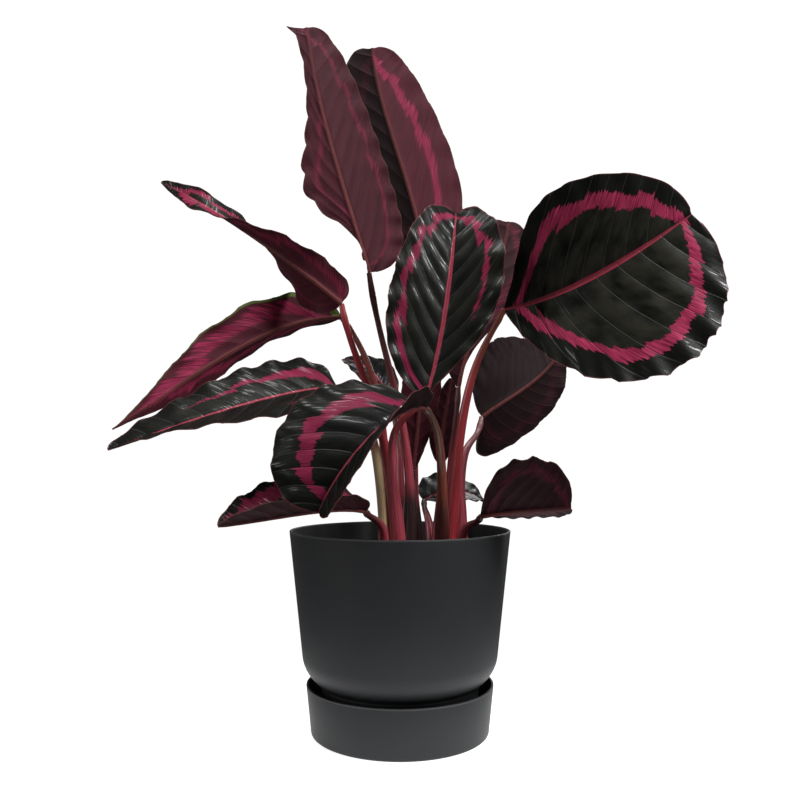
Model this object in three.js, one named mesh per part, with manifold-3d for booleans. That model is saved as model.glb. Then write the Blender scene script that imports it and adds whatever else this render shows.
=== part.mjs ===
// A potted surprise star calathea: a tapered planter standing in its saucer, filled with soil,
// and sixteen leaves, each on a stem of its own that stands in a hole in the soil.
// Millimetres, +Z up. The origin is the middle of the saucer's underside, and -Y is the front.

import * as THREE from "three";
import { mergeVertices } from "three/addons/utils/BufferGeometryUtils.js";
import Module from "manifold-3d";

const wasm = await Module();
wasm.setup();

// Saucer
const SAUCER_RIM_RADIUS = 81.7;
const SAUCER_HEIGHT = 42;
const SAUCER_FOOT_RADIUS = 74;
const SAUCER_HEEL_RADIUS = 77.4;
const SAUCER_HEEL_HEIGHT = 3;
const SAUCER_WALL = 2.2;
const SAUCER_FLOOR = 3;

// Planter: a straight tapered wall, a rounded shoulder below it and a neck that drops into the saucer
const POT_RIM_RADIUS = 97.5;
const POT_RIM_HEIGHT = 173.7;
const POT_SHOULDER_RADIUS = 85.2;
const POT_SHOULDER_HEIGHT = 66;
const POT_SHOULDER_DEPTH = 12;
const POT_NECK_TOP_RADIUS = 73.3;
const POT_NECK_TOP_HEIGHT = 45;
const POT_NECK_RADIUS = 69;
const POT_NECK_HEIGHT = 40;
const POT_FOOT_RADIUS = 65;
const POT_WALL = 2.2;
const POT_FLOOR = 3.5;
const POT_LIP_CHAMFER = 0.6;
const DRAIN_HOLES = 4;
const DRAIN_RADIUS = 4.5;
const DRAIN_CIRCLE = 38;

// Soil
const SOIL_HEIGHT = 145;
const SOIL_CROWN = 3;
const STEM_DEPTH = 27;

const ROUND_SEGMENTS = 40;
const FIT_GAP = 0.35;
const CUT_GAP = 0.45;
const STEM_END_GAP = 0.1;

// Leaves and stems
const BLADE_THICKNESS = 0.8;
const RIB_DEPTH = [2.4, 1.8, 0.9];
const BLADE_COLUMNS = [-1, -0.55, -0.05, 0, 0.05, 0.55, 1];
const BLADE_END = 0.5;
const ROWS_PER_WAVE = 3.4;
const RIGHT_WAVE_SHIFT = 0.37;
const STEM_SIDES = 6;
const STEM_STEPS = 10;
const STEM_FOOT_HEIGHT = SOIL_HEIGHT - STEM_DEPTH;

const COLOURS = {
  planter: 0x343537,
  soil: 0x2b211b,
  stem: 0x9c3a40,
  upperSide: 0x1c2620,
  underside: 0x4f2833,
};

// Each leaf in millimetres. foot: where the stem leaves the bottom of its hole. rise: the two handles of
// the stem's curve. base: where stem and blade meet. spine: the two handles of the midrib. tip: its end.
// face: the way the upper side looks at the base, the middle and the tip. Left and right are as seen on
// the upper side with the tip up.
const LEAF_DEFAULTS = {
  waves: 7,
  stemRadii: [5.5, 3.4, 2.2],
};

// One half of a blade. width: the widest, from midrib to margin. belly: where that lies on the way to the
// tip. baseRound and tipRound: how fast the half narrows towards an end, blunt where it is small. fold: how
// far it lifts from the midrib, and curl: how far it bends on towards its margin, in degrees at the base,
// the middle and the tip. sweep: how far the margin is drawn forward, as a share of the width there.
// ripple: the height of the waves along the margin. lobes: how deep the margin is scalloped, as a share.
const HALF_DEFAULTS = {
  width: 40,
  belly: 0.5,
  baseRound: 0.55,
  tipRound: 0.7,
  fold: [10, 10, 10],
  curl: [0, 0, 0],
  sweep: [0, 0, 0.3],
  ripple: 2.5,
  lobes: 0.03,
};

const LEAVES = [
  {
    name: "tall_left",
    foot: [4, -8],
    rise: [[22, 3, 263], [-14, -17, 302]],
    base: [-27, -30, 398],
    spine: [[-42, -28, 450], [-76, -20, 549]],
    tip: [-86, -6, 633],
    face: [[-0.45, 1, 0], [-0.35, 1, 0.1], [-0.2, 1, 0.2]],
    left: {
      width: 54,
      belly: 0.37,
      baseRound: 0.6,
      tipRound: 0.45,
      fold: [12, 14, 5],
      lobes: 0.02,
      ripple: 2,
    },
    right: { width: 33, belly: 0.42, baseRound: 9, tipRound: 0.1, lobes: 0.14, ripple: 2 },
    waves: 10,
  },
  {
    name: "tall_back",
    foot: [18, 20],
    rise: [[7, 12, 247], [15, 33, 258]],
    base: [27, 40, 396],
    spine: [[21, 45, 496], [-21, 54, 567]],
    tip: [-28, 56, 646],
    face: [[0.1, 1, 0.1], [0, 1, 0.15], [-0.1, 1, 0.2]],
    left: { width: 54, belly: 0.48, tipRound: 0.42, fold: [15, 15, 10], lobes: 0.02, ripple: 1.5 },
    right: { width: 50, belly: 0.5, tipRound: 0.34, fold: [25, 25, 20], lobes: 0.02, ripple: 1.5 },
  },
  {
    name: "narrow_upper_left",
    foot: [2, -25],
    rise: [[-7, -24, 290], [-37, -66, 300]],
    base: [-48, -70, 363],
    spine: [[-84, -80, 394], [-156, -34, 453]],
    tip: [-216, -12, 485],
    face: [[0, 1, 0.35], [0, 0.35, 0.95], [0, -1.3, 0.3]],
    left: {
      width: 20,
      belly: 0.25,
      baseRound: 0.5,
      tipRound: 0.7,
      fold: [20, 5, -40],
      lobes: 0.05,
      ripple: 1.5,
    },
    right: {
      width: 29,
      belly: 0.27,
      baseRound: 1,
      tipRound: 0.7,
      fold: [5, 15, 25],
      lobes: 0.1,
      ripple: 2,
    },
    waves: 6,
  },
  {
    name: "drooping_left",
    foot: [-15, -17],
    rise: [[-6, -12, 276], [-22, -20, 322]],
    base: [-52, -20, 361],
    spine: [[-118, -28, 361], [-164, -92, 297]],
    tip: [-223, -100, 259],
    face: [[0, 0.6, 0.8], [0.2, 0.7, 0.6], [0.5, 0.8, 0.4]],
    left: {
      width: 29,
      belly: 0.37,
      baseRound: 1.2,
      tipRound: 1.2,
      fold: [30, 30, 30],
      sweep: [-0.5, 0, 0.2],
    },
    right: { width: 25, belly: 0.33, baseRound: 0.7, tipRound: 1.2, fold: [30, 30, 30], ripple: 1.5 },
    waves: 6,
  },
  {
    name: "long_left",
    foot: [-12, -36],
    rise: [[-14, -45, 270], [-28, -66, 275]],
    base: [-51, -72, 295],
    spine: [[-90, -94, 292], [-158, -117, 266]],
    tip: [-215, -130, 243],
    face: [[0, -0.75, 0.65], [0, -0.7, 0.7], [0.1, -0.4, 0.9]],
    left: { width: 42, belly: 0.3, tipRound: 0.7, fold: [15, 24, 25], ripple: 1.5 },
    right: {
      width: 42,
      belly: 0.28,
      baseRound: 0.4,
      tipRound: 0.62,
      fold: [0, 0, 10],
      ripple: 2,
      lobes: 0.06,
    },
  },
  {
    name: "centre_front",
    foot: [4, -42],
    rise: [[-15, -43, 281], [-9, -68, 255]],
    base: [20, -90, 283],
    spine: [[36, -80, 332], [42, -88, 395]],
    tip: [47, -60, 442],
    face: [[0, -1, 0.2], [0, -1, 0], [0, -1, -0.2]],
    left: {
      width: 48,
      belly: 0.47,
      tipRound: 0.5,
      fold: [15, 15, 20],
      sweep: [0, 0, 0.6],
      ripple: 1.5,
    },
    right: {
      width: 44,
      belly: 0.62,
      baseRound: 0.9,
      tipRound: 0.5,
      fold: [15, 15, 20],
      sweep: [0, 0, 0.6],
    },
  },
  {
    name: "folded_front",
    foot: [33, -42],
    rise: [[39, -50, 259], [29, -95, 263]],
    base: [19, -112, 275],
    spine: [[-1, -143, 281], [-43, -168, 234]],
    tip: [-57, -160, 199],
    face: [[-0.1, -0.8, 0.7], [-0.1, -1, 0.25], [-0.1, -1, 0]],
    left: { width: 36, tipRound: 0.5, fold: [70, 70, 50], ripple: 1.5 },
    right: {
      width: 62,
      belly: 0.56,
      baseRound: 0.5,
      tipRound: 0.42,
      fold: [10, 5, 5],
      curl: [-20, -30, -30],
    },
  },
  {
    name: "round_right",
    foot: [40, -18],
    rise: [[51, -27, 327], [70, -31, 322]],
    base: [88, -46, 363],
    spine: [[132, -64, 367], [179, -93, 392]],
    tip: [234, -91, 432],
    face: [[0, -1, 0.2], [0.1, -1, 0.2], [0.2, -1, 0.1]],
    left: {
      width: 77,
      belly: 0.54,
      baseRound: 0.8,
      tipRound: 0.6,
      fold: [28, 28, 10],
      lobes: 0.01,
      ripple: 1,
    },
    right: {
      width: 98,
      belly: 0.6,
      baseRound: 0.65,
      tipRound: 0.5,
      fold: [5, 5, 5],
      sweep: [0, 0, 0.15],
      ripple: 2,
    },
    waves: 9,
  },
  {
    name: "back_right",
    foot: [44, 14],
    rise: [[42, 15, 240], [50, 4, 248]],
    base: [53, 8, 301],
    spine: [[63, 11, 351], [100, 24, 420]],
    tip: [104, 36, 463],
    face: [[0, 1, 0.1], [0, 1, 0.15], [0, 1, 0.2]],
    left: { width: 30, belly: 0.68, baseRound: 1.4, tipRound: 0.5, lobes: 0.02, ripple: 1 },
    right: { width: 42, belly: 0.6, tipRound: 0.4, lobes: 0.02, ripple: 1 },
  },
  {
    name: "middle_right",
    foot: [55, -7],
    rise: [[46, -4, 284], [68, 12, 232]],
    base: [76, 28, 275],
    spine: [[100, 43, 294], [135, 63, 308]],
    tip: [158, 72, 340],
    face: [[0.1, 0.9, 0.3], [0.15, 0.9, 0.3], [0.2, 0.9, 0.3]],
    left: {
      width: 43,
      belly: 0.4,
      baseRound: 0.45,
      tipRound: 0.6,
      sweep: [-1.1, -0.2, 0.2],
      lobes: 0.02,
      ripple: 1.5,
    },
    right: { width: 55, tipRound: 0.5, ripple: 1.5 },
  },
  {
    name: "low_right",
    foot: [50, -34],
    rise: [[46, -46, 200], [61, -51, 174]],
    base: [66, -62, 190],
    spine: [[84, -74, 195], [114, -87, 197]],
    tip: [134, -90, 198],
    face: [[0, 0.6, 0.8], [0, 0.65, 0.75], [0, 0.7, 0.7]],
    left: { width: 24, tipRound: 0.5, fold: [20, 20, 20], ripple: 0.8, lobes: 0.02 },
    right: {
      width: 48,
      belly: 0.58,
      baseRound: 0.7,
      tipRound: 0.4,
      fold: [20, 20, 20],
      ripple: 1.5,
      sweep: [0.1, 0.05, 0.1],
    },
    waves: 6,
  },
  {
    name: "low_left",
    foot: [-26, -46],
    rise: [[3, -66, 197], [-25, -71, 183]],
    base: [-27, -88, 196],
    spine: [[-49, -112, 203], [-95, -132, 192]],
    tip: [-131, -140, 188],
    face: [[0, -0.4, 0.9], [0, -0.35, 0.9], [0, -0.3, 0.9]],
    left: { width: 24, belly: 0.45, fold: [50, 55, 60], ripple: 0.6, lobes: 0.02 },
    right: { width: 37, belly: 0.45, fold: [30, 30, 30], ripple: 1.5, lobes: 0.06 },
    waves: 6,
  },
  {
    name: "small_back_left",
    foot: [2, 34],
    rise: [[-1, 43, 266], [1, 48, 235]],
    base: [-8, 60, 291],
    spine: [[-21, 76, 322], [-37, 92, 335]],
    tip: [-58, 108, 340],
    face: [[0, -0.4, 0.9], [0, -0.4, 0.9], [0, -0.4, 0.9]],
    left: { width: 22, ripple: 0.8 },
    right: { width: 22, ripple: 0.8 },
    waves: 5,
  },
  {
    name: "low_back_right",
    foot: [30, 30],
    rise: [[30, 44, 197], [22, 43, 179]],
    base: [23, 54, 197],
    spine: [[40, 71, 207], [70, 93, 209]],
    tip: [86, 104, 192],
    face: [[0, -0.5, 0.85], [0, -0.5, 0.85], [0, -0.5, 0.85]],
    left: { width: 30, ripple: 1.5 },
    right: { width: 34, ripple: 1.5 },
    waves: 5,
  },
  {
    name: "young_centre",
    foot: [8, 8],
    rise: [[2, 8, 210], [9, 6, 200]],
    base: [12, 4, 226],
    spine: [[16, 2, 265], [21, 0, 316]],
    tip: [23, 2, 352],
    face: [[0, 1, 0.1], [0, 1, 0.1], [0, 1, 0.1]],
    left: { width: 18, belly: 0.6, ripple: 0.8 },
    right: { width: 18, belly: 0.6, ripple: 0.8 },
    waves: 6,
  },
  {
    name: "narrow_centre",
    foot: [30, 8],
    rise: [[30, 12, 165], [38, 26, 200]],
    base: [38, 28, 231],
    spine: [[37, 30, 254], [43, 30, 282]],
    tip: [48, 28, 312],
    face: [[0, 1, 0.1], [0, 1, 0.1], [0, 1, 0.1]],
    left: { width: 13, ripple: 0.5 },
    right: { width: 13, ripple: 0.5 },
    waves: 4,
  },
].map((leaf) => ({
  ...LEAF_DEFAULTS,
  ...leaf,
  left: { ...HALF_DEFAULTS, ...leaf.left },
  right: { ...HALF_DEFAULTS, ...leaf.right },
}));

// Value at t of the smooth run through a base, a middle and a tip value.
function along([base, middle, tip], t) {
  return base * (1 - t) * (1 - 2 * t) + 4 * middle * t * (1 - t) + tip * t * (2 * t - 1);
}

function vector(point) {
  return new THREE.Vector3(...point);
}

function curve(start, [firstHandle, secondHandle], end) {
  return new THREE.CubicBezierCurve3(vector(start), vector(firstHandle), vector(secondHandle), vector(end));
}

// Solids and cuts

function solid(geometry) {
  const plain = geometry.clone();
  plain.deleteAttribute("normal");
  plain.deleteAttribute("uv");
  const merged = mergeVertices(plain, 1e-3);
  return new wasm.Manifold(
    new wasm.Mesh({
      numProp: 3,
      vertProperties: new Float32Array(merged.attributes.position.array),
      triVerts: new Uint32Array(merged.index.array),
    }),
  );
}

function geometryOf(manifold) {
  const mesh = manifold.getMesh();
  const geometry = new THREE.BufferGeometry();
  geometry.setAttribute("position", new THREE.BufferAttribute(mesh.vertProperties, 3));
  geometry.setIndex(new THREE.BufferAttribute(mesh.triVerts, 1));
  geometry.computeVertexNormals();
  return geometry;
}

function largestPiece(manifold) {
  return manifold.decompose().reduce((best, piece) => (piece.volume() > best.volume() ? piece : best));
}

// The geometry with every vertex moved out along its normal, as a tool that cuts a gap round it.
function grown(geometry, gap) {
  const plain = geometry.clone();
  plain.deleteAttribute("normal");
  plain.deleteAttribute("uv");
  const merged = mergeVertices(plain, 1e-3);
  merged.computeVertexNormals();
  const position = merged.attributes.position;
  const normal = merged.attributes.normal;
  for (let i = 0; i < position.count; i++) {
    position.setXYZ(
      i,
      position.getX(i) + gap * normal.getX(i),
      position.getY(i) + gap * normal.getY(i),
      position.getZ(i) + gap * normal.getZ(i),
    );
  }
  return merged;
}

// Turned pieces

function turned(outline, divisions = 4) {
  const geometry = new THREE.LatheGeometry(outline.getPoints(divisions), ROUND_SEGMENTS);
  geometry.rotateX(Math.PI / 2);
  return geometry;
}

function saucerGeometry() {
  const inside = SAUCER_RIM_RADIUS - SAUCER_WALL;
  const outline = new THREE.Path();
  outline.moveTo(0, 0);
  outline.lineTo(SAUCER_FOOT_RADIUS, 0);
  outline.quadraticCurveTo(SAUCER_HEEL_RADIUS, 0, SAUCER_HEEL_RADIUS, SAUCER_HEEL_HEIGHT);
  outline.lineTo(SAUCER_RIM_RADIUS, SAUCER_HEIGHT);
  outline.lineTo(inside, SAUCER_HEIGHT);
  outline.lineTo(SAUCER_HEEL_RADIUS - SAUCER_WALL, SAUCER_FLOOR + 1.5);
  outline.lineTo(SAUCER_HEEL_RADIUS - SAUCER_WALL - 1.5, SAUCER_FLOOR);
  outline.lineTo(0, SAUCER_FLOOR);
  return turned(outline, 3);
}

// The pot's inner outline from the floor up, drawn inwards by a gap for what fills the pot.
function innerWall(outline, gap) {
  const inset = POT_WALL + gap;
  outline.lineTo(POT_FOOT_RADIUS - inset, SAUCER_FLOOR + POT_FLOOR);
  outline.lineTo(POT_NECK_RADIUS - inset, POT_NECK_HEIGHT);
  outline.lineTo(POT_NECK_TOP_RADIUS - inset, POT_NECK_TOP_HEIGHT + POT_WALL);
  outline.quadraticCurveTo(
    POT_SHOULDER_RADIUS - inset,
    POT_SHOULDER_HEIGHT - POT_SHOULDER_DEPTH + POT_WALL,
    POT_SHOULDER_RADIUS - inset,
    POT_SHOULDER_HEIGHT,
  );
}

function potOuterOutline() {
  const outline = new THREE.Path();
  outline.moveTo(0, SAUCER_FLOOR);
  outline.lineTo(POT_FOOT_RADIUS, SAUCER_FLOOR);
  outline.lineTo(POT_NECK_RADIUS, POT_NECK_HEIGHT);
  outline.lineTo(POT_NECK_TOP_RADIUS, POT_NECK_TOP_HEIGHT);
  outline.quadraticCurveTo(
    POT_SHOULDER_RADIUS - 1.4,
    POT_SHOULDER_HEIGHT - POT_SHOULDER_DEPTH,
    POT_SHOULDER_RADIUS,
    POT_SHOULDER_HEIGHT,
  );
  outline.lineTo(POT_RIM_RADIUS, POT_RIM_HEIGHT - POT_LIP_CHAMFER);
  outline.lineTo(POT_RIM_RADIUS - POT_LIP_CHAMFER, POT_RIM_HEIGHT);
  outline.lineTo(0, POT_RIM_HEIGHT);
  return outline;
}

function potHollowOutline() {
  const outline = new THREE.Path();
  outline.moveTo(0, SAUCER_FLOOR + POT_FLOOR);
  innerWall(outline, 0);
  outline.lineTo(POT_RIM_RADIUS - POT_WALL, POT_RIM_HEIGHT);
  outline.lineTo(POT_RIM_RADIUS - POT_WALL + 0.1, POT_RIM_HEIGHT + 1);
  outline.lineTo(0, POT_RIM_HEIGHT + 1);
  return outline;
}

function potGeometry() {
  let pot = solid(turned(potOuterOutline())).subtract(solid(turned(potHollowOutline())));
  for (let hole = 0; hole < DRAIN_HOLES; hole++) {
    const angle = (2 * Math.PI * (hole + 0.5)) / DRAIN_HOLES;
    const drill = new THREE.CylinderGeometry(DRAIN_RADIUS, DRAIN_RADIUS, 4 * POT_FLOOR, 10);
    drill.rotateX(Math.PI / 2);
    drill.translate(DRAIN_CIRCLE * Math.cos(angle), DRAIN_CIRCLE * Math.sin(angle), SAUCER_FLOOR);
    pot = pot.subtract(solid(drill));
  }
  return geometryOf(pot);
}

function soilGeometry(stems) {
  const rise = (SOIL_HEIGHT - POT_SHOULDER_HEIGHT) / (POT_RIM_HEIGHT - POT_SHOULDER_HEIGHT);
  const edge = POT_SHOULDER_RADIUS + rise * (POT_RIM_RADIUS - POT_SHOULDER_RADIUS) - POT_WALL - FIT_GAP;
  const outline = new THREE.Path();
  outline.moveTo(0, SAUCER_FLOOR + POT_FLOOR);
  innerWall(outline, FIT_GAP);
  outline.lineTo(edge, SOIL_HEIGHT);
  outline.lineTo(0.75 * edge, SOIL_HEIGHT + 0.7 * SOIL_CROWN);
  outline.lineTo(0, SOIL_HEIGHT + SOIL_CROWN);
  let soil = solid(turned(outline));
  for (const stem of stems) soil = soil.subtract(solid(grown(stem, CUT_GAP)));
  return geometryOf(soil);
}

// Stems

function stemCurve(leaf) {
  return curve([...leaf.foot, STEM_FOOT_HEIGHT], leaf.rise, leaf.base);
}

// A tapering round rod along the stem's curve. It stops just short of the blade.
function stemRod(leaf) {
  const line = stemCurve(leaf);
  const end = 1 - STEM_END_GAP / line.getLength();
  const rod = new THREE.CylinderGeometry(1, 1, 1, STEM_SIDES, STEM_STEPS);
  const position = rod.attributes.position;
  const across = new THREE.Vector3();
  const outward = new THREE.Vector3();
  for (let i = 0; i < position.count; i++) {
    const t = end * (position.getY(i) + 0.5);
    const tangent = line.getTangent(t);
    const radius = along(leaf.stemRadii, t);
    across.crossVectors(tangent, new THREE.Vector3(0.3, 1, 0.1)).normalize();
    outward.crossVectors(across, tangent);
    const point = line.getPoint(t);
    point.addScaledVector(across, radius * position.getX(i));
    point.addScaledVector(outward, radius * position.getZ(i));
    position.setXYZ(i, point.x, point.y, point.z);
  }
  return rod;
}

function stemGeometry(rod, blade) {
  const cut = solid(rod).subtract(solid(grown(blade, CUT_GAP)));
  return geometryOf(largestPiece(cut));
}

// Blades

function halfWidthAt(half, t) {
  const skew = Math.log(0.5) / Math.log(half.belly);
  const roundness = half.baseRound + (half.tipRound - half.baseRound) * t;
  return half.width * Math.sin(Math.PI * t ** skew) ** roundness;
}

// Tangent, facing and sideways directions of the midrib at t.
function spineFrame(leaf, line, t) {
  const tangent = line.getTangent(t);
  const facing = new THREE.Vector3(...[0, 1, 2].map((axis) => along(leaf.face.map((f) => f[axis]), t)));
  facing.addScaledVector(tangent, -facing.dot(tangent)).normalize();
  const sideways = new THREE.Vector3().crossVectors(tangent, facing);
  return { tangent, facing, sideways };
}

// Point of the upper surface: t runs from base to tip, s from the left margin at -1 to the right at 1.
function bladePoint(leaf, line, t, s) {
  const { tangent, facing, sideways } = spineFrame(leaf, line, t);
  const u = Math.abs(s);
  const half = s < 0 ? leaf.left : leaf.right;
  const full = halfWidthAt(half, t);
  const phase = leaf.waves * t + (s < 0 ? 0 : RIGHT_WAVE_SHIFT);
  const width = full * (1 + half.lobes * (Math.abs(Math.sin(Math.PI * phase)) - 0.6) * u ** 3);
  const fold = THREE.MathUtils.degToRad(along(half.fold, t));
  const bend = THREE.MathUtils.degToRad(along(half.curl, t));
  const curl = Math.abs(bend) < 1e-3 ? 1e-3 : bend;
  const out = (width * (Math.sin(fold + curl * u) - Math.sin(fold))) / curl;
  const lift = (width * (Math.cos(fold) - Math.cos(fold + curl * u))) / curl;
  const wave = half.ripple * Math.sqrt(full / half.width) * u ** 3 * Math.sin(2 * Math.PI * phase);
  const forward = along(half.sweep, t) * full * u * u;
  const point = line.getPoint(t);
  point.addScaledVector(sideways, Math.sign(s) * out);
  point.addScaledVector(facing, lift + wave);
  point.addScaledVector(tangent, forward);
  return point;
}

// Outward direction of the upper surface, taken on the side of the midrib where s lies.
function bladeNormal(leaf, line, t, s) {
  if (s === 0) return spineFrame(leaf, line, t).facing;
  const step = 5e-4;
  const inner = s - Math.sign(s) * step;
  const spanwise = bladePoint(leaf, line, t, s).sub(bladePoint(leaf, line, t, inner));
  spanwise.multiplyScalar(Math.sign(s));
  const lengthwise = bladePoint(leaf, line, t + step, s).sub(bladePoint(leaf, line, t - step, s));
  return spanwise.cross(lengthwise).normalize();
}

// A thin closed blade with a rib below its middle. Both faces are split along the same diagonals.
function bladeGeometry(leaf) {
  const line = curve(leaf.base, leaf.spine, leaf.tip);
  const rows = Math.round(ROWS_PER_WAVE * leaf.waves);
  const end = BLADE_END / line.getLength();
  const columns = BLADE_COLUMNS.length;
  const positions = [];
  for (let row = 0; row <= rows; row++) {
    const even = row / rows;
    const eased = 0.5 - 0.5 * Math.cos(Math.PI * even);
    const t = end + (1 - 2 * end) * 0.5 * (even + eased);
    for (const s of BLADE_COLUMNS) {
      const depth = s === 0 ? along(RIB_DEPTH, t) : BLADE_THICKNESS;
      const upper = bladePoint(leaf, line, t, s);
      const lower = upper.clone().addScaledVector(bladeNormal(leaf, line, t, s), -depth);
      positions.push(...upper.toArray(), ...lower.toArray());
    }
  }
  const upper = (row, column) => 2 * (row * columns + column);
  const lower = (row, column) => upper(row, column) + 1;
  const triangles = [];
  const quad = (a, b, c, d) => triangles.push(a, b, c, a, c, d);
  for (let row = 0; row < rows; row++) {
    for (let column = 0; column < columns - 1; column++) {
      const cell = [[row, column], [row, column + 1], [row + 1, column + 1], [row + 1, column]];
      quad(...cell.map((corner) => upper(...corner)));
      const [a, b, c, d] = cell.map((corner) => lower(...corner));
      triangles.push(a, c, b, a, d, c);
    }
    const last = columns - 1;
    quad(upper(row, last), lower(row, last), lower(row + 1, last), upper(row + 1, last));
    quad(upper(row + 1, 0), lower(row + 1, 0), lower(row, 0), upper(row, 0));
  }
  for (let column = 0; column < columns - 1; column++) {
    quad(upper(0, column), lower(0, column), lower(0, column + 1), upper(0, column + 1));
    quad(upper(rows, column + 1), lower(rows, column + 1), lower(rows, column), upper(rows, column));
  }
  const geometry = new THREE.BufferGeometry();
  geometry.setAttribute("position", new THREE.Float32BufferAttribute(positions, 3));
  geometry.setIndex(triangles);
  geometry.computeVertexNormals();
  return geometry;
}

// The whole plant in its planter

function piece(name, geometry, color, roughness) {
  const material = new THREE.MeshStandardMaterial({ color, roughness, metalness: 0, flatShading: true });
  const mesh = new THREE.Mesh(geometry, material);
  mesh.name = name;
  return mesh;
}

const plant = new THREE.Group();
const rods = LEAVES.map(stemRod);
plant.add(piece("saucer", saucerGeometry(), COLOURS.planter, 0.6));
plant.add(piece("pot", potGeometry(), COLOURS.planter, 0.6));
plant.add(piece("soil", soilGeometry(rods), COLOURS.soil, 0.95));
LEAVES.forEach((leaf, index) => {
  const blade = bladeGeometry(leaf);
  const turnedAway = leaf.face[1][1] > 0;
  plant.add(piece(`stem_${leaf.name}`, stemGeometry(rods[index], blade), COLOURS.stem, 0.45));
  plant.add(piece(`leaf_${leaf.name}`, blade, turnedAway ? COLOURS.underside : COLOURS.upperSide, 0.4));
});

export default plant;
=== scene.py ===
"""A potted surprise star calathea: the looks of the plant, its planter and its saucer.

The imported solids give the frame: metres, +Z up, -Y the front, and the origin in the middle of the
saucer's underside. Blades and stems follow the same formulas as the solids, with finer detail, and
their sizes are written in millimetres, as on the solids.
"""

import logging
import math
from collections.abc import Callable
from dataclasses import dataclass
from enum import Enum

import bpy
import numpy as np
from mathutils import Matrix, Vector, noise


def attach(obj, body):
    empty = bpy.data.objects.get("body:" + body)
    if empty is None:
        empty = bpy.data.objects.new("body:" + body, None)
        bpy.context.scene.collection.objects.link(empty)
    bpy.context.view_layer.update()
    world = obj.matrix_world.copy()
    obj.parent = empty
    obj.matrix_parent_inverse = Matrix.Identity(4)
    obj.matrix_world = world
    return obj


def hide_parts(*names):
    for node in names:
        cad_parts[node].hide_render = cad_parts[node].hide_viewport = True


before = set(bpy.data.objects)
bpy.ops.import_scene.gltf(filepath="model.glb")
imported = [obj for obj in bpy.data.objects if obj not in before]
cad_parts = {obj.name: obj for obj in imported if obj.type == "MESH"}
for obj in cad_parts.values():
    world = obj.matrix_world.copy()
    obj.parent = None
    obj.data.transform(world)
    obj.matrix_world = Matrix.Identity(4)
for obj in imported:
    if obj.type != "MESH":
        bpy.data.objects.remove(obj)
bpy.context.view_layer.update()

log = logging.getLogger("calathea")

Quad = tuple[float, float, float, float]
Triple = tuple[float, float, float]
Pair = tuple[float, float]
Number = float | int

MM = 0.001
BODY = "root"

# Amounts too small to see
NO_LENGTH = 1e-9
NEARLY_NONE = 1e-6
STEP = 1e-3

# The angles in degrees past which an edge stays sharp
HARD_CREASE = 35
SOFT_CREASE = 60

# Where stems start above the saucer's underside, and where blades start past the end of their stem
STEM_FOOT_HEIGHT = 118
BLADE_END = 0.5

# How far the right half's waves and side veins are out of step with the left half's
RIGHT_SHIFT = 0.37
RIGHT_VEIN_SHIFT = 0.4

# The bow of side veins, and the form of lobes and teeth along the margin
VEIN_BOW = 1.2
LOBE_MIDDLE = 0.6
TOOTH_POINT = 2.5
TOOTH_MIDDLE = 0.3
TOOTH_ROOM = 18

# How far apart the patterns of two blades or two stems lie
LANES_APART = 1000
VEINS_APART = 40
TURNS_APART = 3.0


def along(values: Triple, t: np.ndarray) -> np.ndarray:
    """Runs smoothly through a value at the base, the middle and the tip.

    Args:
        values: The three values.
        t: Places from 0 at the base to 1 at the tip.

    Returns:
        The value at each place.
    """
    base, middle, tip = values
    return base * (1 - t) * (1 - 2 * t) + 4 * middle * t * (1 - t) + tip * t * (2 * t - 1)


def bezier(points: np.ndarray, t: np.ndarray) -> np.ndarray:
    """Follows a cubic curve.

    Args:
        points: Start, two handles and end, a row each.
        t: Places from 0 to 1.

    Returns:
        A point for each place.
    """
    k = t[:, None]
    start, first, second, end = points
    return (1 - k) ** 3 * start + 3 * k * (1 - k) ** 2 * first + 3 * k * k * (1 - k) * second + k**3 * end


def bezier_slope(points: np.ndarray, t: np.ndarray) -> np.ndarray:
    """Finds how fast and which way a cubic curve runs.

    Args:
        points: Start, two handles and end, a row each.
        t: Places from 0 to 1.

    Returns:
        The derivative at each place.
    """
    k = t[:, None]
    start, first, second, end = points
    leave, cross, arrive = first - start, second - first, end - second
    return 3 * ((1 - k) ** 2 * leave + 2 * k * (1 - k) * cross + k * k * arrive)


def unit(vectors: np.ndarray) -> np.ndarray:
    """Scales each row to length one."""
    return vectors / np.maximum(np.linalg.norm(vectors, axis=-1, keepdims=True), NO_LENGTH)


def ramp(value: np.ndarray, full: float) -> np.ndarray:
    """Grows evenly with the value, from 0 to 1 where it reaches full."""
    return np.clip(value / full, 0, 1)


def smooth_step(value: np.ndarray, low: float, high: float) -> np.ndarray:
    """Eases from 0 at low to 1 at high."""
    x = ramp(value - low, high - low)
    return x * x * (3 - 2 * x)


# Shader graphs


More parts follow.
